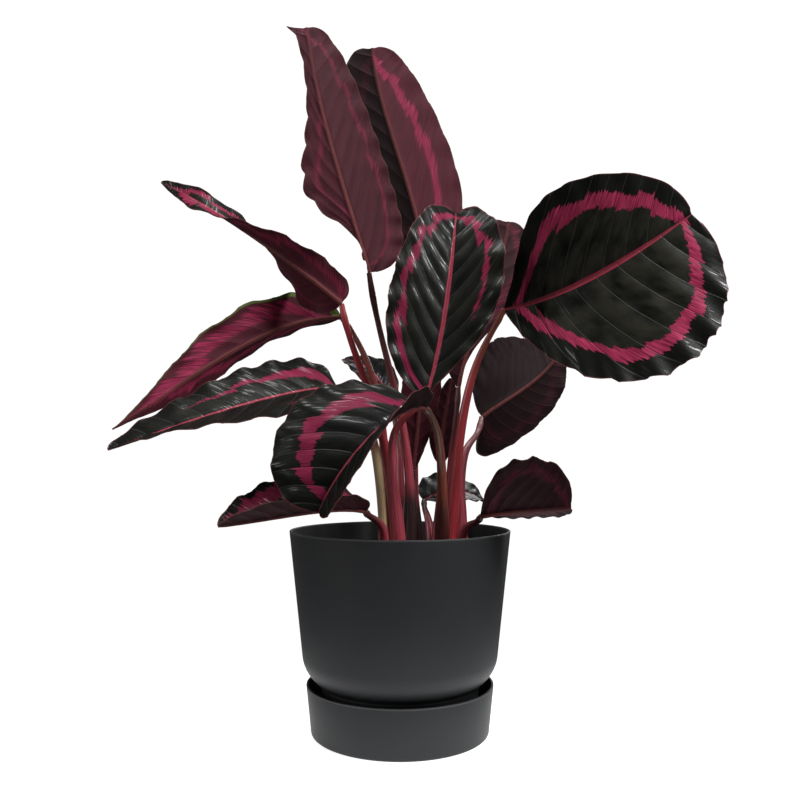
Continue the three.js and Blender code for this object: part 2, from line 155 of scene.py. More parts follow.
class Wire:
    """A shader socket in a sum: each operator adds a Math node."""

    def __init__(self, graph: "Graph", socket: bpy.types.NodeSocket) -> None:
        """Holds the socket and the graph that it is in."""
        self.graph = graph
        self.socket = socket

    def _math(self, operation: str, *terms: "Wire | Number") -> "Wire":
        """Adds one Math node over the terms."""
        node = self.graph.add("ShaderNodeMath", {"operation": operation}, dict(enumerate(terms)))
        return Wire(self.graph, node.outputs[0])

    def __add__(self, other: "Wire | Number") -> "Wire":
        """Adds."""
        return self._math("ADD", self, other)

    __radd__ = __add__

    def __sub__(self, other: "Wire | Number") -> "Wire":
        """Subtracts."""
        return self._math("SUBTRACT", self, other)

    def __rsub__(self, other: Number) -> "Wire":
        """Subtracts from a number."""
        return self._math("SUBTRACT", other, self)

    def __mul__(self, other: "Wire | Number") -> "Wire":
        """Multiplies."""
        return self._math("MULTIPLY", self, other)

    __rmul__ = __mul__

    def magnitude(self) -> "Wire":
        """Drops the sign."""
        return self._math("ABSOLUTE", self)

    def ridge(self) -> "Wire":
        """Measures how far each number lies from the nearest whole one."""
        return ((self + 0.5).part() - 0.5).magnitude()

    def part(self) -> "Wire":
        """Keeps what follows the decimal point."""
        return self._math("FRACT", self)

    def sine(self) -> "Wire":
        """Takes the sine of an angle in radians."""
        return self._math("SINE", self)

    def rises(self, low: Number, high: Number) -> "Wire":
        """Eases from 0 at low to 1 at high.

        Args:
            low: Where it starts to rise.
            high: Where it's all the way up.

        Returns:
            The eased value.
        """
        sockets = {"Value": self, "From Min": low, "From Max": high}
        node = self.graph.add("ShaderNodeMapRange", {"interpolation_type": "SMOOTHSTEP"}, sockets)
        return Wire(self.graph, node.outputs[0])

    def falls(self, low: Number, high: Number) -> "Wire":
        """Eases from 1 at low to 0 at high."""
        return 1 - self.rises(low, high)


class Graph:
    """The nodes of one material."""

    def __init__(self, name: str) -> None:
        """Starts a material with no nodes.

        Args:
            name: What the material is called.
        """
        self.material = bpy.data.materials.new(name)
        self.material.use_nodes = True
        self.tree = self.material.node_tree
        self.tree.nodes.clear()

    def add(self, kind: str, settings: dict, sockets: dict) -> bpy.types.Node:
        """Adds a node.

        Args:
            kind: The node's type.
            settings: Its properties, set before its sockets.
            sockets: The value or the wire for each input, by name or number.

        Returns:
            The node.
        """
        node = self.tree.nodes.new(kind)
        for key, value in settings.items():
            setattr(node, key, value)
        for key, value in sockets.items():
            socket = node.inputs[key]
            if isinstance(value, Wire):
                self.tree.links.new(value.socket, socket)
            else:
                socket.default_value = value
        return node

    def field(self, name: str) -> Wire:
        """Reads a number that the mesh holds at each point."""
        return Wire(self, self.add("ShaderNodeAttribute", {"attribute_name": name}, {}).outputs["Fac"])

    def tint(self, name: str) -> Wire:
        """Reads a colour that the mesh holds at each point."""
        return Wire(self, self.add("ShaderNodeAttribute", {"attribute_name": name}, {}).outputs["Color"])

    def place(self) -> Wire:
        """Reads the place on the object."""
        return Wire(self, self.add("ShaderNodeTexCoord", {}, {}).outputs["Object"])

    def split(self, vector: Wire) -> tuple[Wire, Wire, Wire]:
        """Takes a vector apart."""
        node = self.add("ShaderNodeSeparateXYZ", {}, {0: vector})
        return tuple(Wire(self, socket) for socket in node.outputs)

    def vector(self, x: Wire | Number, y: Wire | Number, z: Wire | Number) -> Wire:
        """Puts three numbers together."""
        return Wire(self, self.add("ShaderNodeCombineXYZ", {}, {0: x, 1: y, 2: z}).outputs[0])

    def speckle(self, vector: Wire, scale: float, detail: float = 2.0) -> Wire:
        """Makes smooth noise from 0 to 1."""
        sockets = {"Vector": vector, "Scale": scale, "Detail": detail}
        return Wire(self, self.add("ShaderNodeTexNoise", {}, sockets).outputs[0])

    def streaks(self, x: Wire, y: Wire, seed: float, detail: float = 2.0) -> Wire:
        """Makes smooth noise on two coordinates, in another pattern for each seed."""
        return self.speckle(self.vector(x, y, seed), 1.0, detail)

    def grains(self, vector: Wire, scale: float) -> Wire:
        """Measures how far each place lies from the middle of its grain."""
        sockets = {"Vector": vector, "Scale": scale}
        return Wire(self, self.add("ShaderNodeTexVoronoi", {}, sockets).outputs[0])

    def blend(self, factor: Wire | Number, first: Wire | Triple, second: Wire | Triple) -> Wire:
        """Mixes two colours.

        Args:
            factor: 0 for the first colour, 1 for the second.
            first: A colour.
            second: A colour.

        Returns:
            The mixed colour.
        """
        first, second = (c if isinstance(c, Wire) else (*c, 1.0) for c in (first, second))
        node = self.add("ShaderNodeMix", {"data_type": "RGBA"}, {0: factor, 6: first, 7: second})
        return Wire(self, node.outputs[2])

    def relief(self, height: Wire, strength: float = 1.0) -> Wire:
        """Bends the shading by a height in millimetres."""
        sockets = {"Height": height, "Distance": MM, "Strength": strength}
        return Wire(self, self.add("ShaderNodeBump", {}, sockets).outputs[0])

    def close(self, sockets: dict) -> bpy.types.Material:
        """Ends the graph in a Principled shader.

        Args:
            sockets: Its values and wires by name.

        Returns:
            The finished material.
        """
        shader = self.add("ShaderNodeBsdfPrincipled", {}, sockets)
        self.add("ShaderNodeOutputMaterial", {}, {0: Wire(self, shader.outputs[0])})
        return self.material


# Finishes


@dataclass(frozen=True)
class PlanterPlastic:
    """Anthracite plastic with a fine satin grain and a painted highlight along the edges of both lips.

    The lips are the heights of both rims, in millimetres, and the painted highlight fades out over the
    lip's depth.
    """

    colour: Triple = (0.0185, 0.0195, 0.0210)
    lip_highlight: Triple = (0.075, 0.077, 0.080)
    lips: Pair = (172.9, 41.4)
    lip_depth: Pair = (0.2, 0.9)
    lip_highlight_mix: Pair = (0.35, 0.5)
    cloud_tones: Pair = (0.9, 1.1)
    cloud_scale: float = 22.0
    grain_scale: float = 2600.0
    grain_height: float = 0.02
    roughness: Triple = (0.42, 0.12, 0.05)

    def build(self) -> bpy.types.Material:
        """Makes the material."""
        g = Graph("planter_plastic")
        place = g.place()
        height = g.split(place)[2] * (1 / MM)
        cloud = g.speckle(place, self.cloud_scale)
        grain = g.speckle(place, self.grain_scale, 1.0)
        # Painted highlight: the edges of both lips are lightened towards pale grey, broken up by the
        # cloud.
        lit_lips = sum((height - lip).magnitude().falls(*self.lip_depth) for lip in self.lips)
        tone = g.blend(cloud, *(tuple(share * c for c in self.colour) for share in self.cloud_tones))
        least, by_cloud = self.lip_highlight_mix
        plain, cloudy, grainy = self.roughness
        return g.close(
            {
                "Base Color": g.blend(lit_lips * (least + by_cloud * cloud), tone, self.lip_highlight),
                "Roughness": plain + cloudy * cloud + grainy * grain,
                "Normal": g.relief(grain * self.grain_height),
                "Specular IOR Level": 0.25,
            }
        )


@dataclass(frozen=True)
class PottingSoil:
    """Damp dark crumbs with a few pale grains of perlite.

    A scale is how many cells of a pattern lie in a metre, and a pair is where a pattern starts and ends.
    Heights are in millimetres, for the crumbs, the fibres and the perlite.
    """

    damp: Triple = (0.012, 0.007, 0.005)
    crumb: Triple = (0.050, 0.028, 0.018)
    perlite: Triple = (0.55, 0.53, 0.48)
    crumb_scale: float = 260.0
    fibre_scale: float = 1100.0
    grain_scale: float = 150.0
    patch_scale: float = 60.0
    crumb_edge: Pair = (0.35, 0.7)
    grain_edge: Pair = (0.10, 0.16)
    patch_edge: Pair = (0.52, 0.58)
    heights: Triple = (1.2, 0.4, 0.6)
    roughness: Pair = (0.95, 0.15)

    def build(self) -> bpy.types.Material:
        """Makes the material."""
        g = Graph("potting_soil")
        place = g.place()
        crumbs = g.speckle(place, self.crumb_scale, 5.0)
        fibres = g.speckle(place, self.fibre_scale, 3.0)
        grain = g.grains(place, self.grain_scale)
        patches = g.speckle(place, self.patch_scale).rises(*self.patch_edge)
        pale = grain.falls(*self.grain_edge) * patches
        earth = g.blend(crumbs.rises(*self.crumb_edge), self.damp, self.crumb)
        lump, thread, bead = self.heights
        plain, by_crumb = self.roughness
        return g.close(
            {
                "Base Color": g.blend(pale, earth, self.perlite),
                "Roughness": plain - by_crumb * crumbs,
                "Normal": g.relief(crumbs * lump + fibres * thread + pale * bead),
                "Specular IOR Level": 0.3,
            }
        )


@dataclass(frozen=True)
class StemSkin:
    """Smooth living skin in the stem's own colours, with fine dark lines and pale lines of painted
    highlight along it.

    The steps are how often the lines and the spots change, round the stem and along it. The covers are
    how much of the darker colour shows in lines and spots, and of the painted highlight in lines.
    """

    shade: Triple = (0.012, 0.004, 0.004)
    shine: Triple = (0.75, 0.36, 0.33)
    line_steps: Pair = (26.0, 7.0)
    spot_steps: Pair = (5.0, 40.0)
    dark_lines: Pair = (0.42, 0.62)
    dark_spots: Pair = (0.58, 0.75)
    highlight_lines: Pair = (0.30, 0.38)
    covers: Triple = (0.8, 0.35, 0.45)
    darkening: float = 0.6
    highlight_share: float = 0.35
    line_height: float = 0.12
    roughness: Pair = (0.26, 0.22)

    def build(self) -> bpy.types.Material:
        """Makes the material."""
        g = Graph("stem_skin")
        tint = g.tint("tint")
        run, turn = g.field("run"), g.field("turn")
        lines = g.streaks(turn * self.line_steps[0], run * self.line_steps[1], 0.0, 3.0)
        spots = g.streaks(turn * self.spot_steps[0], run * self.spot_steps[1], 3.0, 4.0)
        darker = g.blend(self.darkening, tint, self.shade)
        # Painted highlight: the pale lines are the stem's tint mixed towards the shine colour.
        lighter = g.blend(self.highlight_share, tint, self.shine)
        of_line, of_spot, of_highlight = self.covers
        marks = lines.rises(*self.dark_lines) * of_line + spots.rises(*self.dark_spots) * of_spot
        colour = g.blend(marks, tint, darker)
        plain, by_line = self.roughness
        return g.close(
            {
                "Base Color": g.blend(lines.falls(*self.highlight_lines) * of_highlight, colour, lighter),
                "Roughness": plain + by_line * lines,
                "Normal": g.relief(lines * self.line_height),
                "Coat Roughness": 0.2,
                "Coat Weight": 0.25,
            }
        )


@dataclass(frozen=True)
class BladeSkin:
    """What both sides of a blade share: the places that the mesh holds, read as wires.

    A lane is the stretch along a side vein. Lengths are in millimetres, and a pair is where a pattern
    starts and ends, except the steps, which are how fast it changes across its lane and away from the
    midrib. The heights are those of creases, cords, threads and clouds. The roughness is its least, and
    what the threads add, and on the upper side the band.
    """

    name: str
    heights: Quad
    roughness: tuple[float, ...]
    spike_width: float = 1.5
    spike_length: float = 14.0
    jag: float = 10.0
    panel_step: float = 2.0
    panel_turn: float = 2.4
    cord_gap: float = 1.3
    thread_steps: Pair = (1.3, 0.06)
    cloud_steps: Pair = (0.07, 0.05)
    thread_edge: Pair = (0.6, 0.8)
    crease_edge: Pair = (0.0, 0.8)
    margin_edge: Pair = (0.3, 0.7)

    def fields(self, g: Graph) -> dict[str, Wire]:
        """Reads the blade's own coordinates and the streaks that run along its side veins.

        Args:
            g: The graph to read them in.

        Returns:
            The wires by name.
        """
        coordinates = ("mid", "edge", "run", "lane", "vein", "pitch")
        marks = ("off", "reach", "wedge", "rib", "hem", "glow")
        w = {name: g.field(name) for name in coordinates + marks}
        vein, mid, lane, off = (w[name] for name in ("vein", "mid", "lane", "off"))
        panel = vein - vein.part()
        w["spikes"] = g.streaks(lane * (1 / self.spike_width), off * (1 / self.spike_length), 0.0, 3.0)
        shift = (w["spikes"] - 0.5) * self.jag + (panel * self.panel_turn).sine() * self.panel_step
        breadth = w["reach"] * (1 - w["wedge"] * vein.part())
        w["inside"] = breadth - (off + shift).magnitude()
        w["thread"] = g.streaks(lane * self.thread_steps[0], mid * self.thread_steps[1], 4.0)
        w["cloud"] = g.streaks(lane * self.cloud_steps[0], mid * self.cloud_steps[1], 7.0)
        w["threads"] = w["thread"].rises(*self.thread_edge)
        w["gap"] = vein.ridge() * w["pitch"]
        w["crease"] = w["gap"].falls(*self.crease_edge)
        w["margin"] = w["edge"].falls(*self.margin_edge)
        w["cords"] = (lane * (2 * math.pi / self.cord_gap)).sine()
        return w

    def finish(self, g: Graph, w: dict[str, Wire], colour: Wire, gloss: dict) -> bpy.types.Material:
        """Adds the relief and ends the graph.

        Args:
            g: The graph.
            w: The wires of the blade.
            colour: Its colour.
            gloss: The sockets that give the shine, by name.

        Returns:
            The finished material.
        """
        layers = zip(self.heights, ("crease", "cords", "thread", "cloud"))
        height = sum(share * w[name] for share, name in layers)
        return g.close({"Base Color": colour, "Normal": g.relief(height), **gloss})


@dataclass(frozen=True)
class UpperSkin(BladeSkin):
    """Waxy near-black green with a feathered crimson band, a crimson midrib and a pale edge.

    The covers are how much of a colour shows: of the side veins, the threads, the midrib, its core and
    the margin.
    """

    name: str = "leaf_upper"
    heights: Quad = (-0.25, 0.008, 0.12, 0.6)
    roughness: Triple = (0.32, 0.16, 0.08)
    heart: Triple = (0.0026, 0.0030, 0.0028)
    lit_heart: Triple = (0.0265, 0.0255, 0.0190)
    border: Triple = (0.0060, 0.0062, 0.0052)
    pink: Triple = (0.48, 0.042, 0.115)
    deep_pink: Triple = (0.105, 0.006, 0.026)
    midrib: Triple = (0.33, 0.030, 0.065)
    rib_core: Triple = (0.16, 0.050, 0.045)
    margin: Triple = (0.16, 0.040, 0.040)
    side_vein: Triple = (0.050, 0.055, 0.048)
    heart_edge: Pair = (0.25, 0.7)
    border_edge: Pair = (-4.0, 1.0)
    vein_edge: Pair = (0.15, 0.5)
    vein_start: Pair = (1.0, 4.0)
    band_edge: Pair = (-0.3, 0.3)
    vivid_mix: Pair = (0.7, 0.6)
    vivid_edge: Pair = (0.4, 0.85)
    vivid_glow: Pair = (0.15, 0.9)
    band_cover: Pair = (0.82, 0.18)
    rib_edge: Pair = (-0.3, 0.3)
    core_width: float = 0.3
    core_edge: Pair = (-0.4, 0.2)
    coat_edge: Pair = (0.53, 0.64)
    coat: float = 0.5
    covers: tuple[float, ...] = (0.55, 0.12, 0.92, 0.7, 0.6)

    def build(self) -> bpy.types.Material:
        """Makes the material."""
        g = Graph(self.name)
        w = self.fields(g)
        of_vein, of_thread, of_rib, of_core, of_margin = self.covers
        # Painted light: the heart's cloudy mottling is its own, but how far it lightens follows the glow.
        tissue = g.blend(w["cloud"].rises(*self.heart_edge) * w["glow"], self.heart, self.lit_heart)
        tissue = g.blend(w["off"].falls(*self.border_edge), tissue, self.border)
        veined = w["gap"].falls(*self.vein_edge) * w["mid"].rises(*self.vein_start)
        tissue = g.blend(veined * of_vein + w["threads"] * of_thread, tissue, self.side_vein)
        # Painted light: the band's streaks turn from deep pink to bright pink as the glow grows.
        least, by_glow = self.vivid_glow
        by_thread, by_spike = self.vivid_mix
        streaked = (w["thread"] * by_thread + w["spikes"] * by_spike).rises(*self.vivid_edge)
        pinks = g.blend(streaked * (least + by_glow * w["glow"]), self.deep_pink, self.pink)
        band = w["inside"].rises(*self.band_edge)
        cover, by_cloud = self.band_cover
        colour = g.blend(band * (cover + by_cloud * w["cloud"]), tissue, pinks)
        rib = (w["rib"] - w["mid"]).rises(*self.rib_edge)
        core = (self.core_width * w["rib"] - w["mid"]).rises(*self.core_edge) * of_core
        colour = g.blend(rib * of_rib, colour, g.blend(core, self.midrib, self.rib_core))
        colour = g.blend(w["margin"] * of_margin, colour, self.margin)
        plain, threaded, banded = self.roughness
        gloss = {
            "Roughness": plain + threaded * w["thread"] + banded * band,
            "Specular IOR Level": 0.08,
            "Coat Weight": w["spikes"].rises(*self.coat_edge) * self.coat,
            "Coat Roughness": 0.16,
        }
        return self.finish(g, w, colour, gloss)


@dataclass(frozen=True)
class LowerSkin(BladeSkin):
    """Maroon underside, near black where painted shade falls, pinker where painted light shines through
    the band, with a raised brown-red midrib.

    The covers are how much of a colour shows: of the dark clouds, the side veins, the threads and the
    margin.
    """

    name: str = "leaf_lower"
    heights: Quad = (0.2, 0.03, 0.08, 0.3)
    roughness: Pair = (0.45, 0.16)
    dark: Triple = (0.0130, 0.0065, 0.0075)
    maroon: Triple = (0.066, 0.0115, 0.0195)
    shine: Triple = (0.34, 0.026, 0.085)
    midrib: Triple = (0.135, 0.040, 0.038)
    line: Triple = (0.115, 0.036, 0.044)
    green: Triple = (0.085, 0.125, 0.030)
    glow_edge: Pair = (0.0, 0.6)
    cloud_edge: Pair = (0.3, 0.75)
    band_edge: Pair = (-2.5, 1.5)
    spike_edge: Pair = (0.36, 0.6)
    band_glow: Pair = (0.05, 0.8)
    vein_edge: Pair = (0.1, 0.5)
    hem_edge: Pair = (-0.8, 0.8)
    rib_half_width: float = 1.3
    rib_edge: Pair = (-0.4, 0.4)
    rib_fade: float = 0.7
    covers: tuple[float, ...] = (0.35, 0.22, 0.15, 0.5)

    def build(self) -> bpy.types.Material:
        """Makes the material."""
        g = Graph(self.name)
        w = self.fields(g)
        of_cloud, of_vein, of_thread, of_margin = self.covers
        # Painted light and shade: a blade with glow shows maroon, one without stays near black as in
        # shade.
        skin = g.blend(w["glow"].rises(*self.glow_edge), self.dark, self.maroon)
        skin = g.blend(w["cloud"].rises(*self.cloud_edge) * of_cloud, skin, self.dark)
        # Painted light: the band shines pink through the underside, the more so with the glow.
        band = w["inside"].rises(*self.band_edge) * w["spikes"].rises(*self.spike_edge)
        least, by_glow = self.band_glow
        skin = g.blend(band * (least + by_glow * w["glow"]), skin, self.shine)
        lines = w["gap"].falls(*self.vein_edge) * of_vein + w["threads"] * of_thread
        skin = g.blend(lines, skin, self.line)
        skin = g.blend((w["hem"] - w["edge"]).rises(*self.hem_edge), skin, self.green)
        rib = (w["mid"] - self.rib_half_width).falls(*self.rib_edge)
        skin = g.blend(rib * (1 - self.rib_fade * w["run"]), skin, self.midrib)
        colour = g.blend(w["margin"] * of_margin, skin, self.line)
        plain, threaded = self.roughness
        gloss = {"Roughness": plain + threaded * w["thread"], "Specular IOR Level": 0.06}
        return self.finish(g, w, colour, gloss)


# Steps at the bench


def clear_bench() -> None:
    """Goes back to object mode with nothing selected."""
    if bpy.context.object and bpy.context.object.mode != "OBJECT":
        bpy.ops.object.mode_set(mode="OBJECT")
    bpy.ops.object.select_all(action="DESELECT")


def apply_modifier(piece: bpy.types.Object, kind: str, settings: dict) -> None:
    """Adds a modifier and applies it at once.

    Args:
        piece: The piece, which is the active object.
        kind: The modifier's type.
        settings: Its properties.
    """
    modifier = piece.modifiers.new(kind.lower(), kind)
    for key, value in settings.items():
        setattr(modifier, key, value)
    bpy.ops.object.modifier_apply(modifier=modifier.name)


def store(piece: bpy.types.Object, name: str, values: np.ndarray) -> None:
    """Keeps a number at each point of a mesh.

    Args:
        piece: The piece.
        name: The attribute's name.
        values: A number for each point.
    """
    attribute = piece.data.attributes.new(name, "FLOAT", "POINT")
    attribute.data.foreach_set("value", values.astype(np.float32))


def places(piece: bpy.types.Object) -> np.ndarray:
    """Reads the points of a mesh, a row each.

    Args:
        piece: The object whose mesh is read.

    Returns:
        The points, in the mesh's own units.
    """
    flat = np.zeros(len(piece.data.vertices) * 3, np.float32)
    piece.data.vertices.foreach_get("co", flat)
    return flat.reshape(-1, 3).astype(float)


def move_points(piece: bpy.types.Object, points: np.ndarray) -> None:
    """Writes the points of a mesh, in millimetres, as metres."""
    piece.data.vertices.foreach_set("co", (points * MM).astype(np.float32).ravel())
    piece.data.update()


def pick_edges(piece: bpy.types.Object, wanted: Callable[[bpy.types.MeshEdge], bool]) -> None:
    """Selects only some edges of a piece and stays in edit mode.

    Args:
        piece: The piece, which is the active object.
        wanted: Says of an edge whether it is selected.
    """
    bpy.ops.object.mode_set(mode="EDIT")
    bpy.ops.mesh.select_mode(type="EDGE")
    bpy.ops.mesh.select_all(action="DESELECT")
    bpy.ops.object.mode_set(mode="OBJECT")
    for edge in piece.data.edges:
        edge.select = wanted(edge)
    bpy.ops.object.mode_set(mode="EDIT")


def hand_over(piece: bpy.types.Object, node: str, crease: float) -> None:
    """Ends a piece: smooth shading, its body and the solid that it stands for.

    Args:
        piece: The finished piece.
        node: The solid that it replaces.
        crease: The angle in degrees past which an edge stays sharp.
    """
    clear_bench()
    piece.select_set(True)
    bpy.context.view_layer.objects.active = piece
    bpy.ops.object.shade_smooth_by_angle(angle=math.radians(crease))
    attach(piece, BODY)
    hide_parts(node)
    log.info("%s: %d faces", piece.name, len(piece.data.polygons))


# Planter, saucer and soil


@dataclass
class Turned:
    """A round piece raised ring by ring, as on a lathe. Sizes in millimetres, angles in degrees."""

    name: str
    outline: list[Pair]
    sides: int = 128
    lip_round: float = 0.0
    sharp_angle: float = 40

    def build(self, material: bpy.types.Material) -> bpy.types.Object:
        """Raises the rings, closes both ends and rounds the sharp edges.

        Args:
            material: Its finish.

        Returns:
            The piece, not yet handed over.
        """
        clear_bench()
        radius, height = self.outline[0]
        bpy.ops.mesh.primitive_circle_add(vertices=self.sides, radius=radius * MM, fill_type="NOTHING")
        piece = bpy.context.active_object
        piece.name = self.name
        bpy.ops.object.mode_set(mode="EDIT")
        bpy.ops.mesh.select_all(action="SELECT")
        bpy.ops.transform.translate(value=(0, 0, height * MM))
        bpy.ops.mesh.duplicate()
        bpy.ops.mesh.edge_face_add()
        pick_edges(piece, lambda edge: edge.is_loose)
        for next_radius, next_height in self.outline[1:]:
            bpy.ops.mesh.extrude_edges_move()
            scale = next_radius / radius
            bpy.ops.transform.resize(value=(scale, scale, 1))
            bpy.ops.transform.translate(value=(0, 0, (next_height - height) * MM))
            radius, height = next_radius, next_height
        bpy.ops.mesh.edge_face_add()
        bpy.ops.mesh.select_all(action="SELECT")
        bpy.ops.mesh.remove_doubles(threshold=NEARLY_NONE)
        bpy.ops.mesh.normals_make_consistent(inside=False)
        bpy.ops.object.mode_set(mode="OBJECT")
        if self.lip_round:
            rounding = {"width": self.lip_round * MM, "segments": 3, "limit_method": "ANGLE"}
            apply_modifier(piece, "BEVEL", {**rounding, "angle_limit": math.radians(self.sharp_angle)})
        piece.data.materials.append(material)
        return piece


def arc(start: Pair, corner: Pair, end: Pair, steps: int) -> list[Pair]:
    """Rounds a corner of an outline.

    Args:
        start: Where the round begins.
        corner: The corner that it rounds.
        end: Where it ends.
        steps: How many steps it takes.

    Returns:
        The points after the start.
    """
    points = []
    for step in range(1, steps + 1):
        k = step / steps
        weights = ((1 - k) ** 2, 2 * k * (1 - k), k * k)
        points.append(tuple(sum(w * p[i] for w, p in zip(weights, (start, corner, end))) for i in (0, 1)))
    return points


@dataclass(frozen=True)
class Saucer:
    """The deep round saucer. Sizes in millimetres."""

    rim_radius: float = 81.7
    height: float = 42
    foot_radius: float = 74
    heel_radius: float = 77.4
    heel_height: float = 3
    wall: float = 2.2
    floor: float = 3
    corner: float = 2
    floor_border: float = 14
    lip_round: float = 0.7

    def build(self, material: bpy.types.Material) -> None:
        """Makes the saucer.

        Args:
            material: Its finish.
        """
        foot = (self.foot_radius, 0)
        heel = arc(foot, (self.heel_radius, 0), (self.heel_radius, self.heel_height), 5)
        inner_heel = self.heel_radius - self.wall
        inside = [(self.rim_radius - self.wall, self.height), (inner_heel, self.floor + self.corner)]
        inside += arc(inside[-1], (inner_heel, self.floor), (inner_heel - self.corner, self.floor), 4)
        floor = (inner_heel - self.floor_border, self.floor)
        outline = [foot, *heel, (self.rim_radius, self.height), *inside, floor]
        piece = Turned("saucer_shell", outline, lip_round=self.lip_round).build(material)
        hand_over(piece, "saucer", HARD_CREASE)


@dataclass(frozen=True)
class Pot:
    """The tapered pot with its shoulder, its neck and its drain holes. Sizes in millimetres."""

    stand: float = 3
    rim_radius: float = 97.5
    rim_height: float = 173.7
    shoulder_radius: float = 85.2
    shoulder_height: float = 66
    shoulder_depth: float = 12
    shoulder_pull: float = 1.4
    neck_top: Pair = (73.3, 45)
    neck: Pair = (69, 40)
    foot_radius: float = 65
    wall: float = 2.2
    floor: float = 3.5
    floor_border: float = 10
    lip_round: float = 0.7
    drains: int = 4
    drain_radius: float = 4.5
    drain_circle: float = 38

    def wall_outline(self, inset: float, lift: float) -> list[Pair]:
        """Follows the wall from the neck to the shoulder.

        Args:
            inset: How far inside the outer face it lies.
            lift: How far above it the neck's slope lies.

        Returns:
            Points from the neck up to the shoulder.
        """
        top = (self.neck_top[0] - inset, self.neck_top[1] + lift)
        shoulder = (self.shoulder_radius - inset, self.shoulder_height)
        below = self.shoulder_height - self.shoulder_depth + lift
        corner = (self.shoulder_radius - inset - self.shoulder_pull, below)
        return [(self.neck[0] - inset, self.neck[1]), top, *arc(top, corner, shoulder, 10)]

    def build(self, material: bpy.types.Material) -> None:
        """Makes the pot.

        Args:
            material: Its finish.
        """
        foot = (self.foot_radius, self.stand)
        inner_floor = self.stand + self.floor
        inner_foot = self.foot_radius - self.wall
        floor = [(inner_foot, inner_floor), (inner_foot - self.floor_border, inner_floor)]
        rim = [(self.rim_radius, self.rim_height), (self.rim_radius - self.wall, self.rim_height)]
        inside = self.wall_outline(self.wall, self.wall)[::-1]
        outline = [foot, *self.wall_outline(0, 0), *rim, *inside, *floor]
        piece = Turned("pot_shell", outline, lip_round=self.lip_round).build(material)
        for drain in range(self.drains):
            self._drill(piece, 2 * math.pi * (drain + 0.5) / self.drains)
        hand_over(piece, "pot", HARD_CREASE)

    def _drill(self, piece: bpy.types.Object, angle: float) -> None:
        """Cuts one drain hole.

        Args:
            piece: The pot.
            angle: Where the hole lies round the axis, in radians.
        """
        clear_bench()
        place = (self.drain_circle * math.cos(angle), self.drain_circle * math.sin(angle), self.stand)
        bpy.ops.mesh.primitive_cylinder_add(
            vertices=24,
            radius=self.drain_radius * MM,
            depth=4 * self.floor * MM,
            location=[MM * p for p in place],
        )
        drill = bpy.context.active_object
        bpy.context.view_layer.objects.active = piece
        apply_modifier(piece, "BOOLEAN", {"operation": "DIFFERENCE", "object": drill, "solver": "EXACT"})
        bpy.data.objects.remove(drill)


@dataclass(frozen=True)
class Soil:
    """The crumbly soil that fills the pot. Sizes in millimetres.

    The crumb scales the height of all crumbs. The shares are how much coarse swells, lumps and small
    crumbs add to it, the scales are how many of each lie in a millimetre, and the sink lowers them all.
    They fade out towards the rim, and only points less than the slack below the top's edge move.
    """

    pot: Pot
    height: float = 145
    crown: float = 3
    gap: float = 0.35
    top_rings: int = 46
    sides: int = 176
    crumb: float = 2.6
    shares: Triple = (0.9, 1.1, 0.7)
    scales: Triple = (0.11, 0.33, 0.8)
    sink: float = 0.3
    rim_fade: float = 8
    slack: float = 0.5

    def build(self, material: bpy.types.Material) -> None:
        """Makes the soil.

        Args:
            material: Its finish.
        """
        inset = self.pot.wall + self.gap
        wall = self.pot.wall_outline(inset, self.pot.wall)
        taper = (self.height - self.pot.shoulder_height) / (self.pot.rim_height - self.pot.shoulder_height)
        edge = self.pot.shoulder_radius + taper * (self.pot.rim_radius - self.pot.shoulder_radius) - inset
        bottom = (self.pot.foot_radius - inset, self.pot.stand + self.pot.floor)
        top = []
        for ring in range(self.top_rings):
            share = 1 - ring / self.top_rings
            top.append((edge * share, self.height + self.crown * (1 - share * share)))
        outline = [bottom, *wall, *top]
        piece = Turned("soil_crumbs", outline, sides=self.sides).build(material)
        self._crumble(piece, edge)
        hand_over(piece, "soil", SOFT_CREASE)

    def _crumble(self, piece: bpy.types.Object, edge: float) -> None:
        """Raises crumbs on the top face.

        Args:
            piece: The soil.
            edge: The radius of its top.
        """
        points = places(piece) / MM
        coarse, lump, crumb = self.shares
        for point in points:
            if point[2] < self.height - self.slack:
                continue
            reach = math.hypot(point[0], point[1]) / edge
            swell, lumps, crumbs = (noise.noise(Vector(point) * scale) for scale in self.scales)
            rough = coarse * swell + lump * abs(lumps) + crumb * abs(crumbs) - self.sink
            point[2] += min(1.0, self.rim_fade * (1 - reach)) * self.crumb * rough
        move_points(piece, points)


# Leaves


class Tone(Enum):
    """The colours that a stem runs through."""

    RED = (0.34, 0.026, 0.034)
    ROSE = (0.40, 0.055, 0.080)
    BROWN = (0.085, 0.020, 0.018)
    RUST = (0.20, 0.040, 0.020)
    OLIVE = (0.075, 0.030, 0.015)
    CREAM = (0.60, 0.42, 0.24)
    DUSK = (0.030, 0.011, 0.012)
    PALE_PINK = (0.36, 0.13, 0.14)


@dataclass(frozen=True)
class Petiole:
    """How a stem is coloured and sheathed. Widths in millimetres, places as shares of its length."""

    low: Tone = Tone.ROSE
    high: Tone = Tone.BROWN
    sheath: Tone = Tone.DUSK
    sheath_half_width: float = 6.5
    sheath_top: float = 0.28


@dataclass(frozen=True)
class Band:
    """The pink band on one half of a blade, in millimetres.

    The inset is how far its middle lies from the margin, and the reach is half its breadth. Below zero
    there is none. The wedge is how much each stretch between two side veins tapers.
    """

    inset: Triple = (9, 12, 9)
    reach: Triple = (3.0, 4.5, 3.0)
    wedge: float = 0.3


NO_BAND = Band(reach=(-1, -1, -1))


